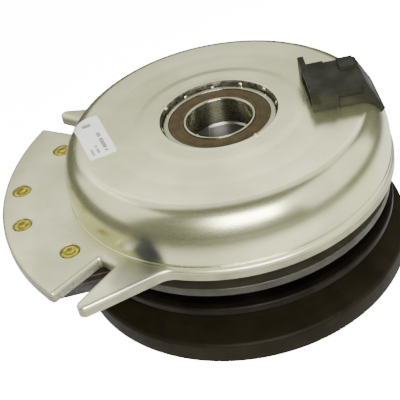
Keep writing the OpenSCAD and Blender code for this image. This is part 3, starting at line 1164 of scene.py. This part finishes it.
@dataclass
class FieldShell:
    """Domed shell drawn from sheet, with its flange, crescent torque plate and fingers."""

    mouth_r: float = 25.0
    mouth_z: float = 29.7
    dome_z: float = 28.9
    wall_r: float = 71.2
    shoulder_r: float = 11.5
    shoulder_drop: float = 19.0
    flange_r: float = 72.3
    plate_t: float = 5.4
    plate_edge: float = 1.7
    plate_hole_r: float = 68.6
    crescent_r: float = 102.0
    crescent_half: float = 36.7
    finger_in: float = 43.4
    notch_r: float = 76.6
    tip_r: float = 3.0
    tip_at: float = 98.5
    finger_slope: float = 17.0
    fillet_r: float = 9.0
    rivets: tuple[Point, ...] = ((-92.7, 12.4), (-73.1, 37.5), (-73.1, -37.5), (-92.7, -12.4))
    rivet_bore: float = 4.25
    shank: float = 2.5
    sunk: float = 1.6
    stakes: int = 12

    def section(self) -> list[Point]:
        """Half section of the dome, the bearing mouth and the wall."""
        steepness = self.shoulder_drop / self.shoulder_r
        shoulder = [
            (
                self.wall_r - self.shoulder_r + x,
                self.dome_z - self.shoulder_drop + steepness * y,
                0.0,
            )
            for x, y in arc((0.0, 0.0), self.shoulder_r, 90, 0, 4.0)
        ]
        return rounded(
            [
                (22.0, 11.4, 0.3), (22.0, 14.8, 0.2), (25.0, 14.8, 0.2), (self.mouth_r, 29.0, 0.2),
                (25.65, self.mouth_z, 0.5), (27.6, 29.58, 10.0), (33.4, 29.48, 12.0),
                (36.8, 29.18, 14.0),
                (44.6, 29.05, 25.0), (49.5, self.dome_z, 40.0),
                *shoulder, (self.wall_r, 7.35, 0.5),
                (70.9, 7.0, 0.25), (70.9, 6.6, 0.25), (71.35, 6.35, 0.3), (71.55, 5.0, 0.2),
                (70.6, 4.2, 0.2), (70.6, 1.0, 0.3), (67.0, 1.0, 0.3), (67.0, 24.7, 8.0),
                (30.0, 24.7, 0.5), (30.0, 11.4, 0.4),
            ],
            4.0,
        )

    def outline(self) -> list[tuple[float, float, float]]:
        """Outline of the plate, seen from above, with a rounding for each corner."""
        u = Vector(polar(1, 180 - self.finger_in))
        n = Vector(polar(1, 90 - self.finger_in))
        tip = self.tip_at * u + self.tip_r * n
        slope = self.finger_slope
        m = Vector(polar(1, 90 - slope))
        d = Vector(polar(1, -slope))
        reach = m.dot(tip) + self.tip_r + self.fillet_r
        along = math.sqrt((self.flange_r + self.fillet_r) ** 2 - reach**2)
        q = reach * m - along * d
        start = math.degrees(math.atan2(q.y, q.x))
        edge = 180 - self.crescent_half
        half: list[tuple[float, float, float]] = []

        def follow(points: Iterable[Point]) -> None:
            """Adds points that need no rounding."""
            half.extend((x, y, 0) for x, y in points)

        follow(arc((0, 0), self.flange_r, 0, start, 2.0))
        follow(arc(tuple(q), self.fillet_r, start + 180, 270 - slope, 6.0)[1:])
        follow(arc(tuple(tip), self.tip_r, 90 - slope, 270 - self.finger_in, 12.0))
        half.append((*polar(self.notch_r, 180 - self.finger_in), 2.0))
        half.append((*polar(self.notch_r, edge), 1.2))
        half.append((*polar(self.crescent_r, edge), 1.4))
        follow(arc((0, 0), self.crescent_r, edge + 1.6, 180, 1.6))
        return half + [(x, -y, e) for x, y, e in reversed(half[1:-1])]

    def plate(self) -> bpy.types.Object:
        """The flat plate, with rounded top edges, sheared sides and rivet bores.

        Returns:
            The object, with the plate finish, the sheared finish and a darker copy of the plate
            finish on its sides as painted shade.
        """
        loop = [Vector(p) for p in rounded(self.outline(), 12.0)]
        count = len(loop)
        normals = []
        for i, here in enumerate(loop):
            ahead = (loop[(i + 1) % count] - here).normalized()
            behind = (here - loop[i - 1]).normalized()
            normal = Vector((ahead.y + behind.y, -ahead.x - behind.x)).normalized()
            normals.append(normal / max(0.6, normal.dot(Vector((ahead.y, -ahead.x)))))
        e, t = self.plate_edge, self.plate_t
        layers = [(0.35, 0.0), (0.0, 0.35), (0.0, 2.0), (0.0, t - e)]
        layers += [
            (e * (1 - math.cos(math.radians(a))), t - e + e * math.sin(math.radians(a)))
            for a in (18, 36, 54, 72, 90)
        ]
        bm = bmesh.new()
        rings = [
            [Vector((*(p - k * inset), z)) * MM for p, k in zip(loop, normals)]
            for inset, z in layers
        ]
        rows = stack(bm, rings, False)
        sides = set(bm.faces)
        hole = stack(bm, [ring_points(self.plate_hole_r, z, even(180)) for z in (0.0, t)], False)
        tops, bottoms = [rows[-1], hole[1]], [rows[0], hole[0]]
        for x, y in self.rivets:
            r, shank, sunk = self.rivet_bore, self.shank, t - self.sunk
            steps = ((r + 0.35, t), (r, t - 0.3), (r, sunk), (shank, sunk), (shank, 0.0))
            shift = Vector((x, y, 0)) * MM
            bore = stack(
                bm,
                [[p + shift for p in ring_points(r, z, even(40))] for r, z in steps],
                False,
            )
            tops.append(bore[0])
            bottoms.append(bore[-1])
        for group in (tops, bottoms):
            edges = [
                bm.edges.get((row[i], row[(i + 1) % len(row)]))
                for row in group
                for i in range(len(row))
            ]
            bmesh.ops.triangle_fill(bm, use_beauty=True, use_dissolve=False, edges=edges)
        for face in bm.faces:
            middle = face.calc_center_median()
            low = middle.z < (t - e) * MM and middle.x < 0 and middle.xy.length > 77.5 * MM
            off = abs(math.degrees(math.atan2(abs(middle.y), -middle.x)) - self.crescent_half)
            sheared = face in sides and low and off < 0.3
            # Sides below the rounded top edge take a darker copy of the plate finish: painted
            # shade.
            painted_shade_side = face in sides and middle.z < (t - e) * MM and abs(face.normal.z) < 0.5
            face.material_index = 1 if sheared else 2 if painted_shade_side else 0
        made = from_bmesh("plate", bm, 40)
        made.data.materials.append(ZINC_PLATE.make())
        made.data.materials.append(SHEARED.make())
        made.data.materials.append(ZINC_SIDE_PAINTED_SHADE.make())
        return made

    def build(self, shop: Workshop) -> None:
        """Builds the shell, the stakes and the brass rivets.

        Args:
            shop: Shared tools.
        """
        dome = shop.turning.ring("field_shell_dome", self.section(), ZINC.make(), 288, 60)
        # The second slot is the bearing mouth's dark band: painted shade of the recess, with dark
        # oxide.
        dome.data.materials.append(MOUTH_OXIDE_AND_SHADE.make())
        for face in dome.data.polygons:
            radius = Vector(face.center).xy.length / MM
            mouth_shade_band = 24.5 < radius < self.mouth_r + 0.45 and face.center.z > 15 * MM
            face.material_index = int(mouth_shade_band)
        shop.keep(dome, Body.FIELD, ["field_shell"])
        plate = self.plate()
        plate.name = "field_shell_plate"
        shop.keep(plate, Body.FIELD, ["field_shell"])
        nub = pin_mesh(
            "nub",
            [(0, 30.15), (0.5, 30.1), (0.88, 29.9), (1.12, 29.55), (1.2, 29.1), (1.1, 28.6),
             (0.7, 28.2), (0, 28.1)],
            20,
        )
        stakes = shop.rings.around(
            "bearing_stakes", nub, ZINC.make(), self.stakes, self.mouth_r + 0.55, 27.0, 0.08
        )
        shop.keep(stakes, Body.FIELD, [])
        rivet = pin_mesh(
            "rivet",
            [(0, 4.45), (0.9, 4.5), (1.7, 4.75), (2.1, 5.15), (2.5, 5.3), (3.2, 5.25), (3.75, 5.0),
             (3.92, 4.6), (3.92, 3.82), (2.45, 3.82), (2.45, -15.6), (2.2, -15.88), (0, -15.88)],
            40,
        )
        shop.keep(
            shop.places.put("brass_rivets", rivet, self.rivets, BRASS.make()),
            Body.FIELD, ["brake_rivets"],
        )


# ---------------------------------------------------------------- label


@dataclass
class Label:
    """Printed film that follows the dome down over its shoulder."""

    width: float = 12.2
    length: float = 32.2
    centre: Point = (-54.3, 4.9)
    turn: float = 12.0
    thickness: float = 0.11
    corner: float = 1.2
    shoulder_at: float = 59.7
    shoulder_r: float = 11.5
    shoulder_drop: float = 19.0
    dome_z: float = 28.9

    def height(self, radius: float) -> float:
        """Height of the dome at a radius."""
        if radius <= self.shoulder_at:
            return self.dome_z + 0.16 * max(0.0, min(1.0, (50.5 - radius) / 5.0))
        run = min(radius - self.shoulder_at, self.shoulder_r)
        return self.dome_z - self.shoulder_drop * (1 - math.sqrt(1 - (run / self.shoulder_r) ** 2))

    def build(self, shop: Workshop) -> None:
        """Builds the film as a thin curved sheet with its own map.

        Args:
            shop: Shared tools.
        """
        bm = bmesh.new()
        film = bm.loops.layers.uv.new("film")
        across, along = 24, 60
        swing = Matrix.Rotation(math.radians(self.turn), 2)
        grid: list[list] = []
        spots: dict = {}
        for i in range(across + 1):
            row = []
            for j in range(along + 1):
                u, v = i / across, j / along
                x, y = (u - 0.5) * self.width, (v - 0.5) * self.length
                dx = max(0.0, abs(x) - self.width / 2 + self.corner)
                dy = max(0.0, abs(y) - self.length / 2 + self.corner)
                span = math.hypot(dx, dy)
                if dx > 0 and dy > 0 and span > self.corner:
                    x -= math.copysign(dx * (1 - self.corner / span), x)
                    y -= math.copysign(dy * (1 - self.corner / span), y)
                p = Vector(self.centre) + swing @ Vector((x, y))
                ripple = 0.03 * math.sin(y * 0.55) * math.sin(x * 0.7)
                z = self.height(p.length) + 0.03 + self.thickness + ripple
                vert = bm.verts.new(Vector((*p, z)) * MM)
                spots[vert] = (x / self.width + 0.5, y / self.length + 0.5)
                row.append(vert)
            grid.append(row)
        for i in range(across):
            for j in range(along):
                here, ahead = grid[i], grid[i + 1]
                face = bm.faces.new((here[j], ahead[j], ahead[j + 1], here[j + 1]))
                for loop in face.loops:
                    loop[film].uv = spots[loop.vert]
        mesh = bpy.data.meshes.new("label_film")
        bm.to_mesh(mesh)
        bm.free()
        mesh.materials.append(FILM.make())
        made = mesh_object("label_film_sheet", mesh)
        solid = made.modifiers.new("thickness", "SOLIDIFY")
        solid.thickness = self.thickness * MM
        solid.offset = -1
        bake(made)
        shade(made.data, 40)
        shop.keep(made, Body.FIELD, ["label"])


# ---------------------------------------------------------------- bearings


@dataclass
class BallBearing:
    """A sealed ball bearing: two rings, two seals, a crown cage and balls."""

    prefix: str
    bore: float
    outer: float
    low: float
    high: float
    land: float
    step: float
    pitch: float
    ball: float
    count: int
    still: Body
    turning: Body
    cage: Body
    inner_out: float
    outer_in: float
    chamfer: float = 0.7

    def ring_section(self, inside: bool) -> list[Point]:
        """Half section of a race, with its ball groove and seal steps.

        Args:
            inside: Whether it is the inner ring.

        Returns:
            The closed section.
        """
        mid, drop_z = (self.low + self.high) / 2, 1.5
        sign = 1 if inside else -1
        back = self.bore if inside else self.outer
        face = self.inner_out if inside else self.outer_in
        step = self.land if inside else self.step
        ball = self.ball + 0.06
        reach = abs(self.pitch - face)
        half = math.sqrt(max(ball**2 - reach**2, 0.01))
        open_angle = math.degrees(math.asin(half / ball))
        centre = 180.0 if inside else 0.0
        swing = sign * open_angle
        groove = arc((self.pitch, mid), ball, centre + swing, centre - swing, 9.0)
        c = self.chamfer if inside else self.chamfer + 0.5
        ends = [
            [(back, z, c), (step, z, 0.2), (step, z + inward, 0.1), (face, z + inward, 0.1)]
            for z, inward in ((self.low, drop_z), (self.high, -drop_z))
        ]
        corners = ends[0] + [(r, z, 0) for r, z in groove] + ends[1][::-1]
        return rounded(corners, 15)

    def seal_section(self, top: bool) -> list[Point]:
        """Half section of a moulded seal with a shallow groove and a lip."""
        z = self.high - 0.25 if top else self.low + 0.25
        s = -1 if top else 1
        inner, outer = self.land + 0.25, self.step - 0.05
        span = outer - inner
        return rounded(
            [
                (inner, z + s * 0.15, 0.1), (inner + 0.12 * span, z + s * 0.0, 0.15),
                (inner + 0.24 * span, z + s * 0.02, 0.15),
                (inner + 0.30 * span, z + s * 0.22, 0.15),
                (inner + 0.68 * span, z + s * 0.24, 0.15),
                (inner + 0.78 * span, z + s * 0.04, 0.15),
                (inner + 0.93 * span, z, 0.15), (outer, z + s * 0.2, 0.1),
                (outer, z + s * 1.2, 0.1), (inner, z + s * 1.2, 0.1),
            ],
            20,
        )

    def build(self, shop: Workshop) -> None:
        """Builds the whole bearing.

        Args:
            shop: Shared tools.
        """
        p = self.prefix
        shop.keep(
            shop.turning.ring(p + "inner_race", self.ring_section(True), GROUND.make(), 192, 40),
            self.turning, [p + "inner_ring"],
        )
        shop.keep(
            shop.turning.ring(p + "outer_race", self.ring_section(False), GROUND.make(), 192, 40),
            self.still, [p + "outer_ring"],
        )
        top = shop.turning.ring(p + "seal_pair", self.seal_section(True), SEAL.make(), 160, 40)
        low = shop.turning.ring("lower", self.seal_section(False), SEAL.make(), 160, 40)
        bm = bmesh.new()
        bm.from_mesh(top.data)
        bm.from_mesh(low.data)
        bm.to_mesh(top.data)
        bm.free()
        drop(low)
        shade(top.data, 40)
        shop.keep(top, self.still, [p + "seals"])
        bm = bmesh.new()
        bmesh.ops.create_icosphere(bm, subdivisions=3, radius=self.ball * MM)
        bmesh.ops.translate(bm, verts=bm.verts, vec=(0, 0, (self.low + self.high) / 2 * MM))
        ball = from_bmesh("ball", bm, 180)
        balls = shop.rings.around(p + "ball_set", ball, GROUND.make(), self.count, self.pitch)
        shop.keep(balls, self.cage, [p + "balls"])
        shop.dress(p + "cage", NYLON)


# ---------------------------------------------------------------- hub and rotor


@dataclass
class Rotor:
    """Keyed hub with the rotor disc, its friction ring and its snap ring."""

    bore: float = 14.2875
    key_w: float = 6.4
    key_depth: float = 1.6
    key_at: float = 120.0
    key_limit: float = 16.4
    funnel: float = 14.0
    top: float = 14.8
    bottom: float = -41.0

    def bore_radius(self, angle: float) -> float:
        """Radius of the bore at an angle, with the keyway."""
        off = math.radians((angle - self.key_at + 180) % 360 - 180)
        if abs(off) < math.pi / 2 and abs(self.bore * math.sin(off)) < self.key_w / 2:
            depth = (self.bore + self.key_depth) / math.cos(off)
            return max(self.bore, min(depth, self.key_limit))
        return self.bore

    def hub(self) -> bpy.types.Object:
        """The hub: a stepped sleeve whose bore has a keyway and broken edges.

        Returns:
            The object.
        """
        corner = math.degrees(math.asin(self.key_w / 2 / self.bore))
        angles = sorted(
            set(even(240))
            | {self.key_at + s * (corner + d) for s in (-1, 1) for d in (-0.02, 0.02)}
        )
        outside = rounded(
            [
                (17.0, self.top, 0.4), (17.0, -1.0, 0.2), (20.0, -1.0, 0.4), (20.0, -22.6, 0.3),
                (17.5, -22.6, 0.2),
                (17.5, -36.6, 0.1), (16.6, -36.6, 0.1), (16.6, -37.9, 0.1), (17.5, -37.9, 0.2),
                (17.5, self.bottom, 0.6),
                (15.2, self.bottom, 0.1), (14.0, self.bottom + 1.0, 0.1),
                (14.0, self.top - 1.1, 0.1), (15.3, self.top, 0.1),
            ],
            20,
        )
        rings = []
        for r, z in outside:
            if r < 16.5:
                spread = r - self.funnel
                inner = lambda a, extra=spread: max(self.bore_radius(a), self.funnel + extra)
                rings.append(ring_points(inner, z, angles))
            else:
                rings.append(ring_points(r, z, angles))
        bm = bmesh.new()
        stack(bm, rings, True)
        made = from_bmesh("hub_sleeve", bm, 30)
        made.data.materials.append(HUB.make())
        return made

    def build(self, shop: Workshop) -> None:
        """Builds the hub and softens the rotor's other pieces.

        Args:
            shop: Shared tools.
        """
        shop.keep(self.hub(), Body.ROTOR, ["rotor_hub"])
        shop.soften_all(
            Body.ROTOR,
            (
                ("rotor_disc", IRON, BLACK_EDGE_WEAR_AND_HIGHLIGHT, 0.3, 2),
                ("friction_ring", LINING, LINING, 0.15, 1),
                ("hub_snap_ring", SPRING, SPRING, 0.15, 2),
            ),
        )


# ---------------------------------------------------------------- pulley


@dataclass
class Pulley:
    """Two pressed sheaves riveted back to back, on a bearing, with leaf spring posts."""

    upper_r: float = 70.7
    lower_r: float = 75.7
    web: float = -26.4
    sheet: float = 3.0
    half_angle: float = 18.0
    upper_z: tuple[float, float] = (-20.8, -17.2)
    lower_z: tuple[float, float] = (-43.0, -33.4)
    root_r: float = 57.0
    seat_r: float = 31.0
    rivets: int = 6
    rivet_at: float = 42.0

    def slope(self, radius: float) -> float:
        """Height gained along the groove's side up to a radius."""
        return (radius - self.root_r) * math.tan(math.radians(self.half_angle))

    def upper_section(self) -> list[Point]:
        """Half section of the upper sheave, from its seat to the rounded rim."""
        root = self.upper_z[0] - self.slope(self.upper_r - 0.8)
        s = self.seat_r
        return rounded(
            [
                (s, self.web, 0.2), (s, -20.6, 0.5), (s + 3.2, -20.6, 1.0),
                (s + 3.2, self.web + self.sheet, 1.2),
                (self.root_r - 3, self.web + self.sheet, 2.0),
                (self.root_r + 1, root + self.sheet + 0.2, 2.0),
                (self.upper_r - 5.2, self.upper_z[1] - 0.9, 1.5),
                (self.upper_r - 3, self.upper_z[1], 0.9),
                (self.upper_r, self.upper_z[1], 1.0), (self.upper_r, self.upper_z[0], 0.9),
                (self.root_r, root, 1.6), (self.root_r - 2, self.web, 0.8),
            ],
            10,
        )

    def lower_section(self) -> list[Point]:
        """Half section of the lower sheave, with its turned-down rim."""
        root = self.lower_z[1] + self.slope(self.lower_r - 1)
        s, r, low, high, t = self.seat_r, self.lower_r, self.lower_z[0], self.lower_z[1], self.sheet
        return rounded(
            [
                (s, self.web, 0.2), (self.root_r - 2, self.web, 0.8), (self.root_r, root, 1.6),
                (r, high, 2.0), (r, low, 0.8), (r - t, low, 0.8), (r - t, high - t - 0.2, 2.2),
                (self.root_r, root - t - 0.2, 2.0), (self.root_r - 2.6, self.web - t, 1.6),
                (s + 3.2, self.web - t, 1.5), (s + 3.2, -39.6, 0.8), (s, -39.6, 0.4),
                (s, -38.8, 0.1),
                (s + 1, -38.8, 0.1), (s + 1, -37.6, 0.1), (s, -37.6, 0.1),
            ],
            10,
        )

    def build(self, shop: Workshop) -> None:
        """Builds the sheaves, the rivets and the posts.

        Args:
            shop: Shared tools.
        """
        for half, section, coat in (
            ("upper", self.upper_section(), BLACK_COAT),
            ("lower", self.lower_section(), PRESSED_RIM),
        ):
            sheave = shop.turning.ring("groove_half_" + half, section, coat.make(), 288, 40)
            shop.keep(sheave, Body.PULLEY, [f"pulley_{half}_sheave"])
        top, low = self.web + self.sheet, self.web - self.sheet
        rivet = pin_mesh(
            "rivet",
            [(0, top + 1.4), (1.6, top + 1.32), (2.8, top + 1.0), (3.45, top + 0.45), (3.6, top),
             (2.0, top),
             (2.0, low), (3.6, low), (3.45, low - 0.45), (2.8, low - 1.0), (1.6, low - 1.32),
             (0, low - 1.4)],
            28,
        )
        rivets = shop.rings.around(
            "sheave_rivet_set", rivet, BRIGHT_RIM.make(), self.rivets, self.rivet_at
        )
        shop.keep(rivets, Body.PULLEY, ["sheave_rivets"])
        shop.soften_all(
            Body.PULLEY,
            (
                ("pulley_snap_ring", SPRING, SPRING, 0.15, 2),
                ("spring_spacers", BRIGHT_RIM, BRIGHT_RIM, 0.25, 2),
                ("spring_rivets", BRIGHT_RIM, BRIGHT_RIM, 0.4, 3),
            ),
        )
        shop.dress("leaf_springs", SPRING)


# ---------------------------------------------------------------- connector


@dataclass
class Connector:
    """Two-way connector on the dome, with its blades."""

    def build(self, shop: Workshop) -> None:
        """Builds the housing and the blades.

        Args:
            shop: Shared tools.
        """
        shop.soften_all(
            Body.FIELD,
            (
                ("connector_housing", PLASTIC, PLASTIC_EDGE_HIGHLIGHT, 0.35, 3),
                ("connector_terminals", TIN, TIN, 0.12, 2),
            ),
        )


# ---------------------------------------------------------------- brake and armature


@dataclass
class BrakeAndArmature:
    """Brake block with its magnets, and the armature that it holds."""

    def build(self, shop: Workshop) -> None:
        """Dresses the brake, the armature and the coil.

        Args:
            shop: Shared tools.
        """
        shop.soften_all(
            Body.FIELD,
            (
                ("brake_pole_plate", BRAKE_IRON, BLACK_EDGE_WEAR_AND_HIGHLIGHT, 0.3, 2),
                ("brake_magnets", MAGNET, MAGNET, 0.4, 2),
                ("brake_shoe", BRAKE_IRON, BLACK_EDGE_WEAR_AND_HIGHLIGHT, 0.5, 2),
            ),
        )
        shop.soften_all(
            Body.ARMATURE,
            (
                ("armature_plate", IRON, BLACK_EDGE_WEAR_AND_HIGHLIGHT, 0.45, 3),
                ("armature_rivets", BRIGHT_RIM, BRIGHT_RIM, 0.3, 2),
            ),
        )
        for node, finish in (
            ("inner_pole", IRON), ("coil_bobbin", PLASTIC), ("coil_winding", COPPER),
            ("coil_potting", POTTING), ("coil_leads", COPPER),
        ):
            shop.dress(node, finish)


# ---------------------------------------------------------------- studio


@dataclass(frozen=True)
class AreaLight:
    """A soft box that looks at a point."""

    name: str
    place: tuple[float, float, float]
    aim: tuple[float, float, float]
    size: tuple[float, float]
    brightness: float
    colour: Colour = (1.0, 1.0, 1.0)

    def make(self) -> None:
        """Adds the light."""
        data = bpy.data.lights.new(self.name, "AREA")
        data.shape = "RECTANGLE"
        data.size, data.size_y = self.size
        data.energy = self.brightness * math.pi * self.size[0] * self.size[1]
        data.color = self.colour
        made = bpy.data.objects.new(self.name, data)
        made.location = self.place
        sight = Vector(self.aim) - Vector(self.place)
        made.rotation_euler = sight.to_track_quat("-Z", "Y").to_euler()
        bpy.context.scene.collection.objects.link(made)


@dataclass(frozen=True)
class Studio:
    """Camera, floor and soft light."""

    distance: float = 413.78
    lens: float = 83.65
    elevation: float = 36.102
    yaw: float = 2.1386
    pitch: float = -1.6159
    roll: float = 11.053
    turn: float = -4.26
    world: Colour = (0.12, 0.12, 0.11)
    lights: tuple[AreaLight, ...] = (
        AreaLight("front_box", (0.03, -0.98, 0.66), (0.0, 0.0, 0.02), (0.70, 0.50), 25.0),
        AreaLight("left_box", (-1.0, 0.2, 0.6), (0.0, 0.0, 0.0), (1.2, 1.1), 1.4),
        AreaLight("right_box", (1.0, -0.35, 0.6), (0.0, 0.0, 0.0), (1.6, 1.3), 1.5),
        AreaLight("back_panel", (-0.1, 1.0, 0.78), (0.0, 0.0, 0.0), (1.8, 0.62), 1.2),
        AreaLight("ceiling", (0.0, 1.0, 1.75), (0.0, 0.0, 0.0), (2.8, 1.5), 1.25),
    )

    def camera(self) -> None:
        """Adds the camera and makes it the scene's own."""
        lift = math.radians(self.elevation)
        back = Vector((0, -math.cos(lift), math.sin(lift)))
        ahead = -back
        right = ahead.cross(Vector((0, 0, 1))).normalized()
        up = right.cross(ahead)
        swing = Quaternion(up, math.radians(self.yaw))
        ahead, right = swing @ ahead, swing @ right
        swing = Quaternion(right, math.radians(self.pitch))
        ahead, up = swing @ ahead, swing @ up
        swing = Quaternion(ahead, math.radians(self.roll))
        right, up = swing @ right, swing @ up
        pose = Matrix((right, up, -ahead)).transposed().to_4x4()
        pose.translation = back * self.distance * MM
        data = bpy.data.cameras.new("camera")
        data.lens, data.sensor_width = self.lens, 36.0
        data.clip_start, data.clip_end = 0.02, 20.0
        made = bpy.data.objects.new("camera", data)
        made.matrix_world = Matrix.Rotation(math.radians(self.turn), 4, "Z") @ pose
        bpy.context.scene.collection.objects.link(made)
        bpy.context.scene.camera = made

    def floor(self, level: float) -> None:
        """Adds the floor at a height in metres."""
        bm = bmesh.new()
        bmesh.ops.create_grid(bm, x_segments=8, y_segments=8, size=3.0)
        bmesh.ops.translate(bm, verts=bm.verts, vec=(0, 0, level))
        made = from_bmesh("floor", bm)
        made.data.materials.append(FLOOR.make())
        made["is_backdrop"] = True

    def surroundings(self) -> None:
        """Sets the even light of the room."""
        world = bpy.data.worlds.new("room")
        bpy.context.scene.world = world
        world.use_nodes = True
        world.node_tree.nodes["Background"].inputs[0].default_value = (*self.world, 1)

    def build(self, level: float) -> None:
        """Builds the studio round the object.

        Args:
            level: Height of the floor, in metres.
        """
        self.camera()
        self.floor(level)
        self.surroundings()
        for light in self.lights:
            light.make()


# ---------------------------------------------------------------- main


def box_lists() -> list[list[float]]:
    """The object's box now, as plain lists."""
    low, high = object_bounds()
    return [list(low), list(high)]


def main() -> None:
    """Loads the frame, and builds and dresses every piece."""
    logging.basicConfig(level=logging.INFO, format="%(name)s %(message)s", stream=sys.stdout)
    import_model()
    cad = box_lists()
    Studio().build(cad[0][2])
    shop = Workshop(Turning(), RingOfParts(), PartsAtPlaces())
    FieldShell().build(shop)
    Label().build(shop)
    BallBearing(
        prefix="bearing_", bore=14.2875, outer=25.0, low=14.8, high=27.3, land=15.5, step=22.2,
        pitch=19.2, ball=2.9, count=13, inner_out=17.0, outer_in=21.3,
        still=Body.FIELD, turning=Body.ROTOR, cage=Body.CAGE,
    ).build(shop)
    BallBearing(
        prefix="pulley_bearing_", bore=17.5, outer=31.0, low=-36.6, high=-22.6, land=20.2,
        step=28.4, pitch=24.2, ball=4.0, count=11, inner_out=21.0, outer_in=27.4,
        still=Body.PULLEY, turning=Body.ROTOR, cage=Body.PULLEY_CAGE,
    ).build(shop)
    Rotor().build(shop)
    Pulley().build(shop)
    Connector().build(shop)
    BrakeAndArmature().build(shop)
    bpy.context.view_layer.update()


if __name__ == "__main__":
    main()
